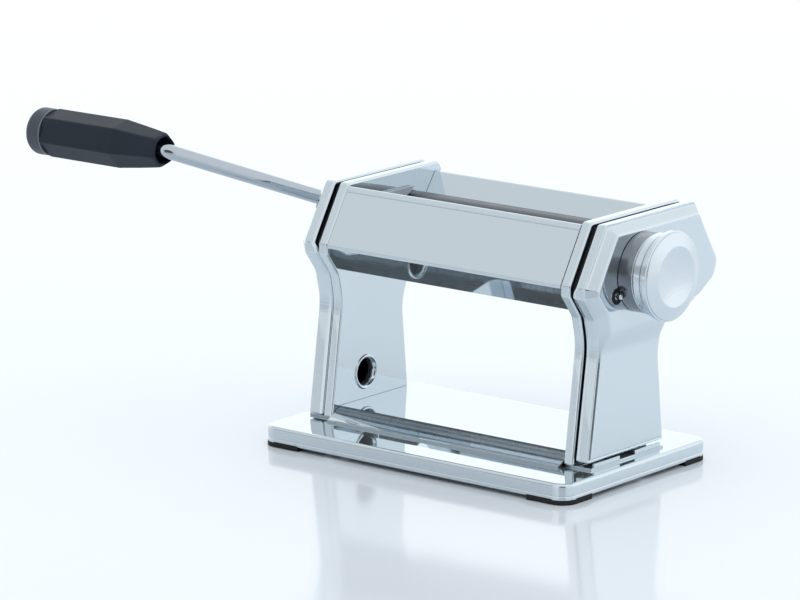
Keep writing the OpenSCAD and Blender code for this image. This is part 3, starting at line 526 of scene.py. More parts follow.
def settle(piece: bpy.types.Object, place: Place, finish: Finish, sharp: float = 32, edge: float = 0.0,
           lining: Finish | None = None) -> None:
    """Shades a piece, rounds its edges, dresses it and hangs it on its body.

    Args:
        piece: The mesh object.
        place: Its body, slot and nodes.
        finish: Its finish.
        sharp: Edges that bend by more degrees than this stay sharp.
        edge: Width of the small round on sharp edges, in millimetres.
        lining: Finish of the faces that are marked as lining; on the pressings it is a painted shade of the
            gaps, on the grip's cap a painted highlight.
    """
    mesh = piece.data
    mesh.shade_smooth()
    mesh.set_sharp_from_angle(angle=math.radians(sharp))
    if edge > 0:
        bevel = piece.modifiers.new("edge_round", "BEVEL")
        bevel.limit_method, bevel.angle_limit = "ANGLE", math.radians(sharp)
        bevel.width, bevel.segments = edge * MM, 2
    even = piece.modifiers.new("even_normals", "WEIGHTED_NORMAL")
    even.keep_sharp = True
    for look in [finish, lining] if lining else [finish]:
        mesh.materials.append(look.material())
    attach(piece, place.body)
    if place.nodes:
        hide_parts(*place.nodes)
    LOG.info("%s rides on %s", piece.name, place.body)


# Sizes that several sub-assemblies share


@dataclass(frozen=True)
class Sizes:
    """Main sizes of the machine in millimetres, the same as in the part's source."""

    sheet: float = 1.0
    tray_top: float = 11.0
    plate_top: float = 12.2
    cheek_in: float = 76.0
    rim_in: float = 82.0
    leg_out: float = 92.2
    head_out: float = 96.5
    bevel_in: float = 91.5
    axis_h: float = 109.0
    front_y: float = 4.95
    rear_y: float = 34.55
    head_y: float = 19.75
    head_half: float = 56.25
    top_half: float = 38.0
    head_top: float = 136.0
    belt_top: float = 106.0
    belt_foot: float = 100.5
    roller_r: float = 14.5
    journal_r: float = 6.0
    cover_half: float = 75.85
    slide_out: float = 81.75

    @property
    def front_axis(self) -> Pair:
        """Y and Z of the front roller's axis, which is the regulator's too."""
        return self.front_y, self.axis_h

    @property
    def rear_axis(self) -> Pair:
        """Y and Z of the rear roller's axis, which is the crank's too."""
        return self.rear_y, self.axis_h

    def side_corners(self, foot_z: float) -> Array:
        """Corners of a cheek's side outline, from the foot's front around the back.

        Corners 1 to 8 go up the back, and the others down the front.

        Args:
            foot_z: Height of the foot.

        Returns:
            Rows of [y, z, radius].
        """
        front, back = self.head_y - self.head_half, self.head_y + self.head_half
        return np.array([
            [-33, foot_z, 0.8], [32, foot_z, 0.8], [26.8, 65, 30], [32.5, 78.5, 6], [58, 83.5, 14],
            [72, 92, 8], [back, self.belt_foot, 4], [back, self.belt_top, 3],
            [self.head_y + self.top_half, self.head_top, 3], [self.head_y - self.top_half, self.head_top, 3],
            [front, self.belt_top, 3], [front, self.belt_foot, 2.5], [-27.5, 88.5, 8], [-24, 74, 40],
        ], float)


SIZES = Sizes()


@dataclass
class CheekOutline:
    """A cheek's outline as a four-sided patch: foot edge, back chain, top edge and front chain.

    Both chains are sampled at the same heights of the plain outline, and every inset uses the same
    places along its corners, so that loops of any inset pair up point by point.
    """

    foot_z: float
    columns: int = 10
    steps: int = 8
    level_step: float = 2.5
    neck: tuple[float, float, int] = (66, 102, 37)
    levels_per_mm: int = 20
    back: Array = field(init=False)
    front: Array = field(init=False)

    def __post_init__(self) -> None:
        """Works out where along each chain the shared heights lie."""
        back, front = self.chains(0.0)
        even = np.arange(self.foot_z + 1, SIZES.head_top, self.level_step)
        heights = np.concatenate([back[:, 1], front[:, 1], even, np.linspace(*self.neck)])
        levels = np.unique(np.round(heights * self.levels_per_mm) / self.levels_per_mm)
        self.back = np.interp(levels, back[:, 1], np.arange(len(back)))
        self.front = np.interp(levels, front[:, 1], np.arange(len(front)))

    def chains(self, d: float) -> tuple[Array, Array]:
        """Both chains of the outline at an inset.

        Args:
            d: Inset.

        Returns:
            Points up the back and points up the front.
        """
        arcs = closed_arcs(inset_corners(SIZES.side_corners(self.foot_z), d), self.steps)
        down = np.concatenate([arcs[9:], arcs[:1]]).reshape(-1, 2)
        return arcs[1:9].reshape(-1, 2), down[::-1]

    def patch(self, d: float) -> Array:
        """The whole area at an inset as rows from front to back.

        Args:
            d: Inset.

        Returns:
            Points, (levels, columns + 1, 2).
        """
        sides = zip(self.chains(d), (self.back, self.front))
        back, front = (
            np.stack([np.interp(at, np.arange(len(chain)), chain[:, k]) for k in (0, 1)], -1)[:, None, :]
            for chain, at in sides
        )
        t = np.linspace(0, 1, self.columns + 1)[None, :, None]
        return front * (1 - t) + back * t

    def loop(self, d: float) -> Array:
        """The edge of the patch as one closed loop, (n, 2)."""
        p = self.patch(d)
        return np.concatenate([p[0], p[1:, -1], p[-1, -2:0:-1], p[:0:-1, 0]])


@dataclass
class Cheek:
    """One end of the machine: an inner pressing with a clamp hole and an outer one with a bevelled head.

    The sizes without a value differ between the two ends.
    """

    side: Side
    foot_z: float
    leg_gap: float
    bush_at: Pair
    bush_r: float
    swell: Pair = (69.0, 83.0)
    head_gap: float = 3.3
    gap_step: Pair = (102.0, 107.0)
    rim_run: float = 3.0
    bead: float = 1.2
    bead_groove: float = 0.6
    bevel_slope: float = 1.25
    reach: float = 7.3
    fillet: float = 0.28
    curl: Pair = (2.8, 1.1)
    joggle: float = 3.0
    tuck: float = 88.0
    fold_run: float = 6.0
    outer_cut: Pair = (90.0, 98.0)
    inner_cut: Pair = (74.0, 79.0)
    rear_hole: float = 9.05
    front_hole: float = 7.8
    slide_travel: float = 2.4
    spindle_at: Pair = (-15.55, 105.0)
    spindle_hole: float = 4.8
    clamp_r: float = 7.4
    clamp_at: Pair = (-4.3, 32.0)
    clamp_room: float = 1.0
    lip_wall: float = 1.2
    lip_out: float = 0.7
    lip_mouth: Pair = (2.0, 4.2)
    lip_curl: float = 0.9
    lip_back: Pair = (0.5, 4.0)

    @property
    def name(self) -> str:
        """The side's name as the pieces and nodes use it."""
        return self.side.name.lower()

    def face_x(self, z: Array) -> Array:
        """Outer face: it swells from the leg out to the head."""
        return eased(z, self.swell, SIZES.leg_out, SIZES.head_out)

    def rim_x(self, z: Array) -> Array:
        """Inboard edge of the outer rim: the gap to the inner rim widens on the head."""
        return eased(z, self.gap_step, SIZES.rim_in + self.leg_gap, SIZES.rim_in + self.head_gap)

    def pressed(self, x: Array | float, plane: Array, wall: float) -> Array:
        """Points of the outer pressing: x is the soft minimum of the section's x and the face's x."""
        face = self.face_x(plane[..., 1]) - wall
        return yz_points(soft_min(x + 0 * face, face, self.fillet), plane)

    def outer_stations(self, wall: float) -> Array:
        """Section of the outer rim, from its straight run over the grooved bead and up the bevel.

        Args:
            wall: Distance inside the outer surface.

        Returns:
            Rows of [inset, x].
        """
        x0, bead = SIZES.bevel_in - wall, wall + self.bead
        path = rounded_path([
            [wall, x0 - self.rim_run, 0], [wall, x0, 0.5], [bead - 0.1, x0 - self.bead_groove, 0.12],
            [bead + 0.5, x0 + 0.4, 0.3],
            [wall + self.reach, x0 + (self.reach - self.bead) * self.bevel_slope, 0],
        ], 5)
        return np.concatenate([path[:-2], np.linspace(path[-2], path[-1], 16)])

    def outer_surface(self, skin: Skin, outline: CheekOutline, wall: float) -> Array:
        """Adds one surface of the outer pressing, whose free edge curls inwards along a quarter ellipse.

        Args:
            skin: The mesh in work.
            outline: The pressing's outline.
            wall: Distance inside the outer surface.

        Returns:
            The loop at the rim's edge, (n, 3).
        """
        stations = self.outer_stations(wall)
        loops = np.stack([outline.loop(d) for d in stations[:, 0]])
        t = np.linspace(0, np.pi / 2, 7)[:, None]
        rims = np.stack([outline.loop(wall + self.curl[1] * (1 - v)) for v in np.sin(t[:, 0])])
        curl = self.rim_x(rims[..., 1]) + wall / 2 + (self.curl[0] - wall / 2) * (1 - np.cos(t))
        edge = yz_points(curl, rims)
        rim = np.concatenate([edge, self.pressed(stations[:, 1:2], loops, wall)])
        # The inside surface (wall > 0) takes the near-black painted shade finish.
        skin.grid(rim, around=True, lining=wall > 0)
        last = stations[-1]
        skin.grid(self.pressed(last[1], outline.patch(last[0]), wall), lining=wall > 0)
        return edge[0]

    def inner_surface(self, skin: Skin, outline: CheekOutline, wall: float) -> Array:
        """Adds one surface of the inner pressing, whose rim steps down and tucks under the outer one.

        Args:
            skin: The mesh in work.
            outline: The pressing's outline.
            wall: Distance inside the outer surface.

        Returns:
            The loop at the rim's edge, (n, 3).
        """
        x0, rim, deep, steps = SIZES.cheek_in + wall, SIZES.rim_in - wall, wall + self.joggle, 6
        section = rounded_path([
            [deep, self.tuck, 0], [deep, rim, 0.3], [wall, rim, 1.4], [wall, x0, 1.3 - 0.8 * wall],
            [wall + self.fold_run, x0, 0],
        ], steps)
        loops = np.stack([outline.loop(d) for d in section[:, 0]])
        rows = yz_points(np.broadcast_to(section[:, 1:2], loops.shape[:2]), loops)
        step_top = steps + 2
        # The rim's step takes the near-black painted shade finish on both faces, and so does the inside
        # surface.
        skin.grid(rows[:step_top + 1], around=True, lining=True)
        skin.grid(rows[step_top:], around=True, lining=wall > 0)
        skin.grid(yz_points(x0, outline.patch(section[-1, 0])), lining=wall > 0)
        return rows[0]

    def hole_tool(self, at: Pair, r: float, ends: Pair) -> bpy.types.Object:
        """A cylinder of a radius along X that cuts a round hole between two ends."""
        profile = np.array([[0, ends[0]], [r, ends[0]], [r, ends[1]], [0, ends[1]]], float)
        return Skin().turned(at, profile, False, 96).mirror(self.side).build("hole_tool")

    def build_pressing(self, kind: str, outline: CheekOutline, holes: list[tuple[Pair, float]], ends: Pair,
                       surface: Callable[[Skin, CheekOutline, float], Array]) -> None:
        """Builds a pressing from its two surfaces, joined along the rim, cuts its holes and dresses it.

        Args:
            kind: Which pressing, as its names have it.
            outline: Its outline.
            holes: Place and radius of each hole.
            ends: Where along X the holes are cut.
            surface: Adds one surface and gives its rim loop.
        """
        skin = Skin()
        edges = [surface(skin, outline, wall) for wall in (0.0, SIZES.sheet)]
        skin.grid(np.stack(edges), around=True)
        piece = skin.mirror(self.side).build(f"{self.name}_{kind}_pressing")
        cut_away(piece, [self.hole_tool(at, r, ends) for at, r in holes])
        # Faces marked as lining get the near-black painted shade.
        settle(piece, Place("frame", "chrome", (f"{self.name}_{kind}_shell",)), SHEET, 40, lining=PAINTED_SHADE_SHEET)

    def build_lip(self) -> None:
        """The rolled lip of the clamp hole: a mouth on a quarter ellipse, and a curl on a quarter circle."""
        r, x, crest = self.clamp_r + self.lip_wall, SIZES.cheek_in, SIZES.cheek_in - self.lip_out
        low, high = x + self.lip_back[0], x + self.lip_back[1]
        t = np.linspace(0, np.pi / 2, 13)
        wide, deep = self.lip_mouth
        mouth = np.column_stack([r - wide * np.cos(t), crest + deep * (1 - np.sin(t))])
        curl = np.column_stack([r + self.lip_curl * np.sin(t), crest + self.lip_curl * (1 - np.cos(t))])
        back = [[r + self.lip_curl, low], [r, low], [r, high]]
        profile = np.concatenate([[[r - wide, high]], mouth, curl[1:], back])
        lip = Skin().turned(self.clamp_at, profile, True, 72).mirror(self.side)
        settle(lip.build(f"{self.name}_clamp_lip"), Place("frame", "chrome"), SHEET, 50)

    def dress(self) -> None:
        """Builds both pressings and the lip on the frame."""
        self.build_pressing("outer", CheekOutline(self.foot_z), [(self.bush_at, self.bush_r)], self.outer_cut,
                            self.outer_surface)
        holes = [
            (self.clamp_at, self.clamp_r + self.clamp_room), (SIZES.rear_axis, self.rear_hole),
            ((SIZES.front_y - self.slide_travel / 2, SIZES.axis_h), self.front_hole),
            (self.spindle_at, self.spindle_hole),
        ]
        self.build_pressing("inner", CheekOutline(SIZES.plate_top), holes, self.inner_cut, self.inner_surface)
        self.build_lip()


@dataclass
class Base:
    """The tray with its rolled edge and bottom hem, and the raised platform on its foot plate."""

    length: float = 200.0
    width: float = 125.0
    corner: float = 9.0
    least_corner: float = 0.4
    foot: float = 2.15
    half_bridge: float = 31.0
    bridge_top: float = 17.8
    plate_half: float = 34.0
    plate_end: float = 92.4
    plate_t: float = 1.2
    hat_end: float = 75.7
    hat_gap: float = 0.2
    tab_notch: float = 13.0
    tab_l: float = 22.0
    tab_h: float = 2.0
    tab_root: float = 0.4
    ramp_top: float = 4.6
    ramp_foot: float = 36.4
    ramp_flange: float = 0.7

    def ring(self, d: float, z: float) -> Array:
        """A rounded rectangle of the tray.

        Args:
            d: Inset from its sides.
            z: Height.

        Returns:
            Points, (n, 3).
        """
        a, b, r = self.length / 2 - d, self.width / 2 - d, max(self.corner - d, self.least_corner)
        flat = closed_arcs(np.array([[-a, -b, r], [a, -b, r], [a, b, r], [-a, b, r]]), 14).reshape(-1, 2)
        return np.column_stack([flat, np.full(len(flat), z)])

    def tray_section(self, wall: float) -> Array:
        """Section of the tray's edge: bottom hem, groove, wall and rolled top, or the plain inside.

        Args:
            wall: Distance inside the outer surface.

        Returns:
            Rows of [inset, z].
        """
        top, low = SIZES.tray_top - wall, self.foot
        if wall > 0:
            return rounded_path([[wall, low, 0], [wall, top, 2.0], [wall + 5, top, 0]])
        return rounded_path([
            [0.5, low, 0], [0.0, low + 0.5, 0.4], [0.0, low + 1.9, 0.35], [0.45, low + 2.3, 0.25],
            [0.15, low + 2.7, 0.4], [0.15, top, 1.8], [6.0, top, 0],
        ], 5)

    def build_tray(self) -> None:
        """The tray as one bent sheet with a flat top."""
        skin = Skin()
        rims = []
        for wall in (0.0, SIZES.sheet):
            loops = np.stack([self.ring(d, z) for d, z in self.tray_section(wall)])
            skin.grid(loops, around=True)
            skin.cap(loops[-1])
            rims.append(loops[0])
        skin.grid(np.stack(rims), around=True)
        settle(skin.build("tray_pressing"), Place("frame", "chrome", ("base_tray",)), SHEET, 40)

    def build_platform(self) -> None:
        """The hat-shaped platform with a leaning front wall, and a plate with two tabs under each leg."""
        low, top, half = SIZES.plate_top, self.bridge_top, self.half_bridge
        hat = rounded_path([
            [self.plate_half, low, 0], [half, low, 0.5], [half, top, 1.6], [self.ramp_top - half, top, 1.6],
            [-self.ramp_foot, low, 0.5], [-self.ramp_foot - self.ramp_flange, low, 0],
        ])
        skin = Skin().strip(hat, self.plate_t, self.hat_end)
        inner, outer = self.hat_end + self.hat_gap, self.plate_end
        for x0, x1, tab_x0, tab_x1 in ((-outer, -inner, -outer, self.plate_t - outer),
                                       (inner, outer, outer - self.plate_t, outer)):
            skin.block((x0, -half, SIZES.tray_top), (x1, half, low))
            for y0 in (-self.tab_notch / 2 - self.tab_l, self.tab_notch / 2):
                skin.block((tab_x0, y0, low - self.tab_root), (tab_x1, y0 + self.tab_l, low + self.tab_h))
        settle(skin.build("platform_pressing"), Place("frame", "chrome", ("base_bridge",)), SHEET, 40, 0.12)

    def dress(self) -> None:
        """Builds the tray and the platform; the rubber feet keep their solids."""
        self.build_tray()
        self.build_platform()


@dataclass
class Covers:
    """The front cover with its double hem and groove, the rear cover and the hopper's feed plate."""

    inset: float = 0.4
    hem_r: float = 1.2
    hem_fold: float = 5.0
    hem_drop: float = 0.06
    groove: tuple[Pair, ...] = ((1.7, 0.0), (2.2, 0.45), (2.7, 0.0))
    chin_start: float = 0.3
    chin_z: float = 88.7
    chin_run: float = 18.2
    chin_tail: Pair = (2.5, 1.2)
    ridge_z: float = 131.2
    hopper_lean: float = 0.72
    lip_reach: float = 15.4
    lip_turn: float = 43.0
    rear_tail: Pair = (-5.0, 3.0)
    feed_gap: float = 3.6
    feed_top: Pair = (3.2, -2.2)
    feed_fold: Pair = (-1.6, -6.0)
    corners: Array = field(init=False)

    def __post_init__(self) -> None:
        """Takes the covers' corners from the cheeks' outline."""
        self.corners = inset_corners(SIZES.side_corners(SIZES.plate_top), self.inset)[:, :2]

    def hem_top(self) -> Array:
        """Where the front cover's outer face meets its hem."""
        return self.corners[9] + (self.corners[10] - self.corners[9]) * self.hem_drop

    @staticmethod
    def hang(path: Array, shift: float, name: str, node: str) -> None:
        """Makes the sheet along a path and hangs it on the frame in place of its node."""
        piece = Skin().strip(path, shift, SIZES.cover_half).build(name)
        settle(piece, Place("frame", "chrome", (node,)), SHEET, 40, 0.1)

    def build_front(self) -> None:
        """The front cover: a fold, a half-round hem, a groove, the sloping face, the belt and the chin."""
        top, belt, foot = self.corners[9:12]
        slope = unit(belt - top)
        inward = left_of(slope)
        edge = self.hem_top()
        hem = edge + inward * self.hem_r
        t = np.linspace(0, np.pi, 13)[:, None]
        curl = hem + self.hem_r * (np.cos(t) * inward - np.sin(t) * slope)
        groove = [[*(edge + slope * down + inward * deep), 0.15] for down, deep in self.groove]
        start = belt + (foot - belt) * self.chin_start
        chin = np.array([start[0] + self.chin_run, self.chin_z])
        rest = rounded_path([
            [*edge, 0], *groove, [*belt, 0.6], [*start, 0.6], [*chin, 1.2], [*(chin + self.chin_tail), 0],
        ], 8)
        path = np.concatenate([[hem + inward * self.hem_r + slope * self.hem_fold], curl, rest[1:]])
        self.hang(path, SIZES.sheet, "front_cover_sheet", "front_cover")

    def build_rear(self) -> None:
        """The rear cover: the hopper's rear slope, the ridge, the back slope, the belt and the chin."""
        chin, turn, foot, belt, top = self.corners[4:9]
        a = math.radians(self.lip_turn)
        lip = SIZES.rear_axis + self.lip_reach * np.array([math.cos(a), math.sin(a)])
        back = unit(belt - top)
        ridge = top + back * (top[1] - self.ridge_z) / -back[1]
        hopper = lip[0] + (self.ridge_z - lip[1]) * self.hopper_lean
        path = rounded_path([
            [*lip, 0], [hopper, self.ridge_z, 2], [*ridge, 2.5], [*belt, 3], [*foot, 4], [*turn, 6],
            [*chin, 2], [*(chin + self.rear_tail), 0],
        ], 7)
        self.hang(path, -SIZES.sheet, "rear_cover_sheet", "rear_cover")

    def build_feed(self) -> None:
        """The feed plate that slopes from the front hem down to the front roller."""
        reach = (SIZES.roller_r + self.feed_gap) * math.sqrt(0.5)
        low = np.array([SIZES.front_y - reach, SIZES.axis_h + reach])
        high = self.hem_top() + self.feed_top
        path = rounded_path([[*(high + self.feed_fold), 0], [*high, 1.2], [*low, 0]])
        self.hang(path, -SIZES.sheet, "hopper_feed_sheet", "hopper_guide")

    def dress(self) -> None:
        """Builds the three sheets."""
        self.build_front()
        self.build_rear()
        self.build_feed()


@dataclass
class Rollers:
    """The two rollers with their journals."""

    half: float = 75.0
    front_left: float = 90.95
    rear_left: float = 97.3
    socket_r: float = 4.15
    socket_depth: float = 24.0
    chamfer: float = 0.5
    end_chamfer: float = 0.3

    def section(self, left: float) -> Array:
        """Section of a roller as rows of [radius, x], from its left end to its right end."""
        r, j, half, c = SIZES.roller_r, SIZES.journal_r, self.half, self.chamfer
        return np.array([
            [j - self.end_chamfer, -left], [j, -left + self.end_chamfer], [j, -half], [r - c, -half],
            [r, -half + c], [r, half - c], [r - c, half], [j, half], [j, SIZES.slide_out],
            [0, SIZES.slide_out],
        ], float)

    def dress(self) -> None:
        """Builds both rollers; the rear one has the crank's socket."""
        floor = self.socket_depth - self.rear_left
        socket = [[0, floor], [self.socket_r, floor], [self.socket_r, -self.rear_left]]
        for node, body, axis, start, left in (
            ("front_roller", "front_roller", SIZES.front_axis, [[0, -self.front_left]], self.front_left),
            ("rear_roller", "drive", SIZES.rear_axis, socket, self.rear_left),
        ):
            skin = Skin().turned(axis, np.concatenate([start, self.section(left)]), False)
            # The rollers' near-black finish is painted shade.
            settle(skin.build(f"{node}_barrel"), Place(body, "chrome", (node,)), ROLLER_PAINTED_SHADE)


@dataclass
class Regulator:
    """The thickness knob with its satin ring and its dished rim cap, and the index peg with a dark ring round
    it.
    """

    knob_in: float = 96.9
    collar_out: float = 106.3
    band_out: float = 112.6
    knob_out: float = 118.2
    collar_r: float = 20.7
    band_r: float = 21.5
    rim_r: float = 23.3
    rim_w: float = 2.5
    rim_groove: Pair = (0.9, 0.2)
    rim_shoulder: Pair = (0.5, 0.7)
    cone_gap: float = 0.5
    dish_r: float = 15.3
    dish_depth: float = 2.4
    neck_w: float = 0.6
    band_groove: Pair = (2.4, 1.4)
    groove_deep: float = 0.8
    groove_flank: float = 0.3
    bore: float = 17.9
    wall: float = 2.8
    spigot_l: float = 1.2
    spigot_fit: float = 0.05
    spindle_r: float = 5.05
    hub_in: float = 98.9
    hub_out: float = 103.9
    hub_wall: Pair = (3.5, 4.5)
    web_in: float = 101.4
    scale_ends: Pair = (0.02, 1.3)
    scale_deep: float = 0.5
    scale_proud: float = 0.04
    peg_r: float = 1.4
    peg_at: Pair = (-15.97, 99.69)
    peg_in: float = 94.5
    peg_neck: float = 1.9
    peg_dome: float = 1.1
    seat_r: float = 4.3
    seat_gap: float = 0.6
    seat_x: Pair = (-0.1, 0.3)

    @staticmethod
    def turn(profile: Array, closed: bool, name: str, nodes: tuple[str, ...], finish: Finish) -> None:
        """Turns a piece about the regulator's axis and hangs it on the knob."""
        piece = Skin().turned(SIZES.front_axis, profile, closed).build(name)
        settle(piece, Place("knob", "chrome", nodes), finish)

    def build_body(self) -> None:
        """The knob's body, turned from a closed section: collar, neck, grooved band and the hub inside."""
        collar, band, deep, flank = self.collar_r, self.band_r, self.groove_deep, self.groove_flank
        neck = self.collar_out - self.neck_w
        start, end = (self.band_out - x for x in self.band_groove)
        outside = rounded_path([
            [self.bore, self.knob_in, 0], [collar, self.knob_in, 0.7], [collar, neck - flank, 0.3],
            [collar - deep, neck, 0.15], [collar - deep, self.collar_out, 0.15], [band, self.collar_out, 0.6],
            [band, start, 0.1], [band - deep, start + flank, 0.1], [band - deep, end - flank, 0.1],
            [band, end, 0.1], [band, self.band_out, 0.05], [self.bore, self.band_out, 0],
        ], 5)
        inside = np.array([
            [self.bore, self.hub_out], [self.spindle_r, self.hub_out], [self.spindle_r, self.hub_in],
            [self.spindle_r + self.hub_wall[0], self.hub_in],
            [self.spindle_r + self.hub_wall[1], self.web_in], [self.bore, self.web_in],
        ])
        self.turn(np.concatenate([outside, inside]), True, "knob_body", ("regulator_knob",), TURNED)

    def build_scale(self) -> None:
        """The satin ring let into the collar."""
        x0, x1 = self.knob_in + self.scale_ends[0], self.collar_out - self.scale_ends[1]
        r0, r1 = self.collar_r - self.scale_deep, self.collar_r + self.scale_proud
        self.turn(np.array([[r0, x0], [r1, x0], [r1, x1], [r0, x1]]), True, "knob_scale_ring", (), SCALE)

    def build_cap(self) -> None:
        """The knob's cap: a grooved rim, a shallow conical ring and a dish, and a well for the spindle.

        The dish's depth falls with the radius squared.
        """
        r = self.dish_r * np.linspace(1, 0, 14)
        dish = np.column_stack([r, self.knob_out - self.dish_depth * (1 - (r / self.dish_r) ** 2)])
        spigot, floor = self.band_out - self.spigot_l, self.knob_out - self.dish_depth - self.wall / 2
        well, fit = self.bore - self.wall, self.bore - self.spigot_fit
        under = [[0, floor], [well, floor], [well, spigot], [fit, spigot], [fit, self.band_out]]
        rim, side = self.rim_r, self.band_out + self.rim_w
        edge = rounded_path([
            [self.band_r, self.band_out, 0], [rim, self.band_out, 0.6], [rim, side, 0.2],
            [rim - self.rim_groove[0], side + self.rim_groove[1], 0.1],
            [rim - self.rim_shoulder[0], side + self.rim_shoulder[1], 0.5],
            [self.dish_r + self.cone_gap, self.knob_out, 0.4], [*dish[0], 0],
        ])
        self.turn(np.concatenate([under, edge, dish[1:]]), False, "knob_rim_cap", ("knob_cap",), TURNED)

    def build_peg(self) -> None:
        """The round-headed index peg beside the collar."""
        t = np.linspace(0, np.pi / 2, 7)
        neck = self.knob_in + self.peg_neck
        head = np.column_stack([self.peg_r * np.cos(t), neck + self.peg_dome * np.sin(t)])
        profile = np.concatenate([[[0, self.peg_in], [self.peg_r, self.peg_in]], head])
        peg = Skin().turned(self.peg_at, profile, False, 32).build("index_peg_head")
        settle(peg, Place("frame", "chrome", ("index_peg",)), TURNED)

    def build_seat(self) -> None:
        """A dark ring around the index peg, in the feet's rubber finish."""
        r = self.peg_r + self.seat_gap
        x0, x1 = (SIZES.head_out + x for x in self.seat_x)
        profile = rounded_path([[r, x0, 0], [self.seat_r, x0, 0], [self.seat_r, x1, 0.15], [r, x1, 0]], 3)
        seat = Skin().turned(self.peg_at, profile, True, 48).build("index_peg_seat")
        settle(seat, Place("frame", "foot"), RUBBER)

    def dress(self) -> None:
        """Builds the knob on its own body, and the peg and its seat on the frame."""
        self.build_body()
        self.build_scale()
        self.build_cap()
        self.build_peg()
        self.build_seat()


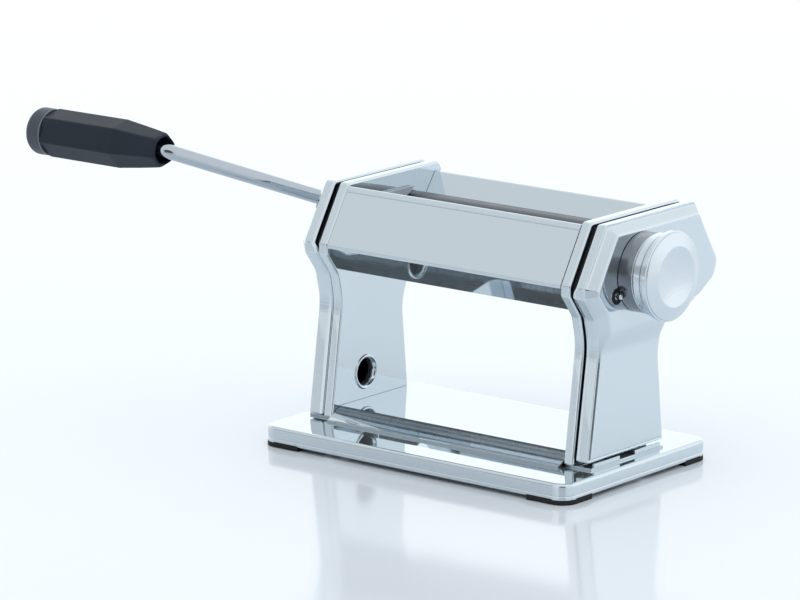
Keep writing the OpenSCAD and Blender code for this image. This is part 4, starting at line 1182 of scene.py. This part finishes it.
@dataclass
class Crank:
    """The bent rod with its collar, and the six-sided grip with its end cap."""

    rod_r: float = 4.0
    hex_r: float = 4.0
    hex_end: float = 1.0
    shaft_end: float = 97.3
    shaft_gap: float = 0.2
    socket: float = 24.0
    first_bend: float = 110.3
    second_bend: float = 179.02
    radius: float = 94.0
    bend_r: float = 9.0
    slant: float = 58.0
    rest: float = 66.6
    rod_end: float = 257.12
    collar_ends: Pair = (2.55, 0.15)
    collar_h: float = 3.0
    collar_fit: float = 0.05
    grip_in: float = 174.62
    taper: float = 29.0
    barrel: float = 50.0
    mouth_d: float = 19.0
    grip_d: float = 26.5
    grip_turn: float = 23.0
    grip_bore: float = 4.05
    hollow: float = 7.5
    shoulder: float = 2.5
    cap_l: float = 11.0
    cap_inset: float = 0.4
    cap_edge: float = 0.35
    cap_end: float = 4.0
    washer_r: float = 7.1

    def turned_place(self, p: Array) -> Array:
        """Points laid out with the arm upright, in the crank's turned place at rest.

        Args:
            p: Points [x, across, up] about the shaft's axis.

        Returns:
            Points in the machine's frame.
        """
        a = math.radians(self.rest)
        y = p[..., 1] * math.cos(a) - p[..., 2] * math.sin(a)
        z = p[..., 1] * math.sin(a) + p[..., 2] * math.cos(a)
        return np.stack([p[..., 0], y + SIZES.rear_y, z + SIZES.axis_h], -1)

    def build_rod(self) -> None:
        """The rod: circles carried along the bent line, and the six-sided end inside the socket."""
        lead = self.bend_r * math.tan(math.radians(self.slant / 2))
        line = rounded_path([
            [-self.shaft_end - self.shaft_gap, 0, 0], [-self.first_bend - lead, 0, self.bend_r],
            [-self.second_bend + lead, self.radius, self.bend_r], [-self.rod_end, self.radius, 0],
        ], 20)
        step = np.gradient(line, axis=0)
        step[0], step[-1] = [-1, 0], [-1, 0]
        normal = left_of(unit(step))
        t = turns(48)
        across = np.broadcast_to(self.rod_r * np.sin(t), (len(line), len(t)))
        flat = line[:, None, :] + self.rod_r * np.cos(t)[None, :, None] * normal[:, None, :]
        skin = Skin()
        skin.rod(self.turned_place(np.stack([flat[..., 0], across, flat[..., 1]], -1)))
        ends = np.array([[self.socket - self.shaft_end], [-self.shaft_end - self.hex_end]])
        h = np.radians(np.arange(0, 360, 60))[None, :] + 0 * ends
        bar = np.stack([ends + 0 * h, self.hex_r * np.sin(h), self.hex_r * np.cos(h)], -1)
        skin.rod(self.turned_place(bar))
        settle(skin.build("crank_rod_bar"), Place("crank", "chrome", ("crank_rod",)), ROD)

    def build_collar(self) -> None:
        """The stop collar against the socket."""
        x0, x1 = (-self.shaft_end - x for x in self.collar_ends)
        r0, r1 = self.rod_r + self.collar_fit, self.rod_r + self.collar_h
        section = rounded_path([[r0, x0, 0], [r1, x0, 0.5], [r1, x1, 0.3], [r0, x1, 0]], 4)
        collar = Skin().turned(SIZES.rear_axis, section, True, 64).build("crank_stop_collar")
        settle(collar, Place("crank", "steel", ("crank_collar",)), TURNED)

    def grip_ring(self, s: Array, apothem: Array, power: Array, t: Array) -> Array:
        """Rounded six-sided rings along the grip.

        A ring's radius is apothem / (sum over six flats of max(cos, 0) ** power) ** (1 / power),
        so a high power gives crisp corners and a low one a round.

        Args:
            s: Places along the grip from its mouth.
            apothem: Distance of the flats from the axis at each place.
            power: Crispness at each place.
            t: Turns of the points in a ring.

        Returns:
            Points, (places, turns, 3).
        """
        flats = np.radians(self.grip_turn + 30 + 60 * np.arange(6))
        facing = np.maximum(np.cos(t[None, :] - flats[:, None]), 1e-6)
        norm = (facing[None] ** power[:, None, None]).sum(axis=1) ** (1 / power[:, None])
        return self.grip_points(s, apothem[:, None] / norm, t)

    def grip_points(self, s: Array, r: Array, t: Array) -> Array:
        """Points at radius r and turn t about the grip's axis, at places s from its mouth."""
        x = -self.grip_in - s[:, None] + 0 * (r + t)
        return self.turned_place(np.stack([x, r * np.sin(t), self.radius + r * np.cos(t)], -1))

    def build_grip(self) -> None:
        """The grip: six flats on a barrel, a taper to a rounder mouth, the hollow mouth and the bore.

        The flats' distance drops at both ends to round the edges there.
        """
        length = self.taper + self.barrel
        s = np.concatenate([
            [0.0, 0.25, 0.8, 1.6], np.linspace(3, self.taper - 3, 16),
            np.linspace(self.taper - 2, self.taper + 2, 9), np.linspace(self.taper + 6, length - 1.2, 6),
            [length - 0.5, length - 0.15, length],
        ])
        share = eased(s, (self.taper - self.shoulder, self.taper + self.shoulder), 0, 1)
        slope = self.mouth_d + (self.grip_d - self.mouth_d) * np.minimum(s / self.taper, 1.03)
        corner = slope * (1 - share) + self.grip_d * share
        drop = np.zeros_like(s)
        drop[:3], drop[-3:] = [0.9, 0.4, 0.1], [0.08, 0.25, 0.6]
        apothem = corner / 2 * math.cos(math.radians(30)) - drop
        power = np.interp(s, [0, 4, 16, length], [14, 26, 60, 70])
        t = turns(144)
        inside = np.array([
            [length, self.grip_bore], [self.hollow, self.grip_bore], [self.hollow, 6.6], [2.0, 7.2],
            [0.3, 7.3], [0.0, 7.6],
        ])
        rings = [self.grip_ring(s, apothem, power, t), self.grip_points(inside[:, 0], inside[:, 1:], t)]
        skin = Skin()
        skin.grid(np.concatenate(rings), around=True, along=True)
        settle(skin.build("grip_handle"), Place("grip", "grip", ("grip_sleeve",)), GRIP, 50)

    def build_cap(self) -> None:
        """The grip's round end cap, hollow for the washer; its front edge takes a lighter finish as a painted
        highlight along the seam.
        """
        r, washer, middle, steps = self.grip_d / 2 - self.cap_inset, self.washer_r, self.cap_l / 2, 10
        section = rounded_path([
            [washer, 0.0, 0], [r - 0.1, 0.0, self.cap_edge], [r, self.cap_l, self.cap_end],
            [0, self.cap_l, 0],
        ], steps)
        section = np.concatenate([section, [[0, middle], [washer, middle]]])
        rings = self.grip_points(self.taper + self.barrel + section[:, 1], section[:, :1], turns(96))
        edge_end = steps + 1
        skin = Skin()
        # The front edge's rings take the painted highlight finish.
        skin.grid(rings[1:edge_end + 1], around=True, lining=True)
        skin.grid(np.concatenate([rings[edge_end:], rings[:2]]), around=True)
        settle(skin.build("grip_end_cap"), Place("grip", "grip", ("grip_cap",)), CAP, 50, lining=CAP_EDGE_HIGHLIGHT)

    def dress(self) -> None:
        """Builds the rod and collar on the crank, and the grip and its cap on their own body."""
        self.build_rod()
        self.build_collar()
        self.build_grip()
        self.build_cap()


@dataclass
class InnerWorks:
    """The nodes that keep their own solids and only get a finish."""

    finishes: dict[str, Finish] = field(default_factory=lambda: {
        "steel": STEEL, "bronze": BRONZE, "bush": BUSH, "foot": RUBBER, "grip": GRIP, "chrome": SHEET,
    })

    def dress(self) -> None:
        """Gives each node that still shows the finish of its record slot."""
        for row in frame["record"]["subparts"]:
            node = frame["nodes"][row["node"]]
            if node.hide_render:
                continue
            node.data.materials.clear()
            node.data.materials.append(self.finishes[row["material_slot"]].material())
            LOG.info("%s keeps its solid", row["node"])


@dataclass(frozen=True)
class Patch:
    """A round patch of the tent: the way to its middle, where it is full and where it ends in degrees."""

    middle: tuple[float, float, float]
    inner: float
    outer: float
    level: float


@dataclass
class Studio:
    """The camera, a white tent around the machine and a pale glossy floor."""

    eye: tuple[float, float, float] = (1.5454, -1.9987, 0.6651)
    aim: tuple[float, float, float] = (-0.0455, -0.0136, 0.0769)
    lens: float = 225.0
    sensor: float = 36.0
    clip: Pair = (0.05, 60.0)
    floor_half: float = 7.0
    floor_colour: Colour = (0.84, 0.885, 0.935, 1)
    floor_roughness: float = 0.1
    tent: float = 1.06
    patches: tuple[Patch, ...] = (
        Patch((-0.609, -0.548, 0.572), 10, 50, 0.86),
        Patch((-0.609, 0.760, 0.225), 12, 45, 1.38),
        Patch((0.609, 0.760, 0.28), 8, 40, 1.25),
        Patch((-0.59, -0.77, 0.22), 4, 14, 0.5),
        Patch((0.60, -0.77, 0.20), 15, 29, 0.12),
    )

    def camera(self) -> None:
        """The camera at the photograph's viewing angle."""
        data = bpy.data.cameras.new("camera")
        data.lens, data.sensor_width, data.sensor_fit = self.lens, self.sensor, "HORIZONTAL"
        data.clip_start, data.clip_end = self.clip
        made = bpy.data.objects.new("camera", data)
        bpy.context.scene.collection.objects.link(made)
        made.location = self.eye
        made.rotation_mode = "QUATERNION"
        made.rotation_quaternion = (Vector(self.aim) - Vector(self.eye)).to_track_quat("-Z", "Y")
        bpy.context.scene.camera = made

    def world(self) -> None:
        """The tent: an even white, mixed with each patch by how near a direction lies to its middle."""
        world = bpy.data.worlds.new("tent")
        bpy.context.scene.world = world
        world.use_nodes = True
        nodes, links = world.node_tree.nodes, world.node_tree.links
        coords = nodes.new("ShaderNodeTexCoord")
        colour = nodes.new("ShaderNodeRGB")
        colour.outputs[0].default_value = self.tint(self.tent)
        current = colour.outputs[0]
        for patch in self.patches:
            toward = nodes.new("ShaderNodeVectorMath")
            toward.operation = "DOT_PRODUCT"
            toward.inputs[1].default_value = Vector(patch.middle).normalized()
            links.new(coords.outputs["Generated"], toward.inputs[0])
            mask = nodes.new("ShaderNodeMapRange")
            mask.interpolation_type = "SMOOTHSTEP"
            mask.inputs["From Min"].default_value = math.cos(math.radians(patch.outer))
            mask.inputs["From Max"].default_value = math.cos(math.radians(patch.inner))
            links.new(toward.outputs["Value"], mask.inputs["Value"])
            mix = nodes.new("ShaderNodeMix")
            mix.data_type = "RGBA"
            links.new(mask.outputs["Result"], mix.inputs["Factor"])
            links.new(current, mix.inputs["A"])
            mix.inputs["B"].default_value = self.tint(patch.level)
            current = mix.outputs["Result"]
        links.new(current, nodes["Background"].inputs["Color"])

    @staticmethod
    def tint(level: float) -> Colour:
        """The tent's cool white at a brightness."""
        return (0.94 * level, 0.975 * level, level, 1)

    def floor(self) -> None:
        """A pale glossy floor."""
        half = self.floor_half
        corners = [(-half, -half, 0), (half, -half, 0), (half, half, 0), (-half, half, 0)]
        mesh = bpy.data.meshes.new("floor")
        mesh.from_pydata(corners, [], [(0, 1, 2, 3)])
        made = bpy.data.objects.new("floor", mesh)
        bpy.context.scene.collection.objects.link(made)
        look = bpy.data.materials.new("floor_gloss")
        look.use_nodes = True
        shader = look.node_tree.nodes["Principled BSDF"]
        shader.inputs["Base Color"].default_value = self.floor_colour
        shader.inputs["Roughness"].default_value = self.floor_roughness
        mesh.materials.append(look)

    def build(self) -> None:
        """Sets the whole studio up."""
        self.camera()
        self.world()
        self.floor()
        bpy.context.scene.view_settings.view_transform = "Standard"


def main() -> None:
    """Builds and dresses each sub-assembly, then sets the studio up."""
    logging.basicConfig(level=logging.INFO)
    assemblies = [
        Base(),
        Cheek(Side.LEFT, foot_z=12.7, leg_gap=0.3, bush_at=SIZES.rear_axis, bush_r=9.05),
        Cheek(Side.RIGHT, foot_z=15.0, leg_gap=1.5, bush_at=SIZES.front_axis, bush_r=8.05),
        Covers(), Rollers(), Regulator(), Crank(), InnerWorks(),
    ]
    for assembly in assemblies:
        assembly.dress()
        LOG.info("%s is dressed", type(assembly).__name__)
    Studio().build()
    bpy.context.view_layer.update()


if __name__ == "__main__":
    main()
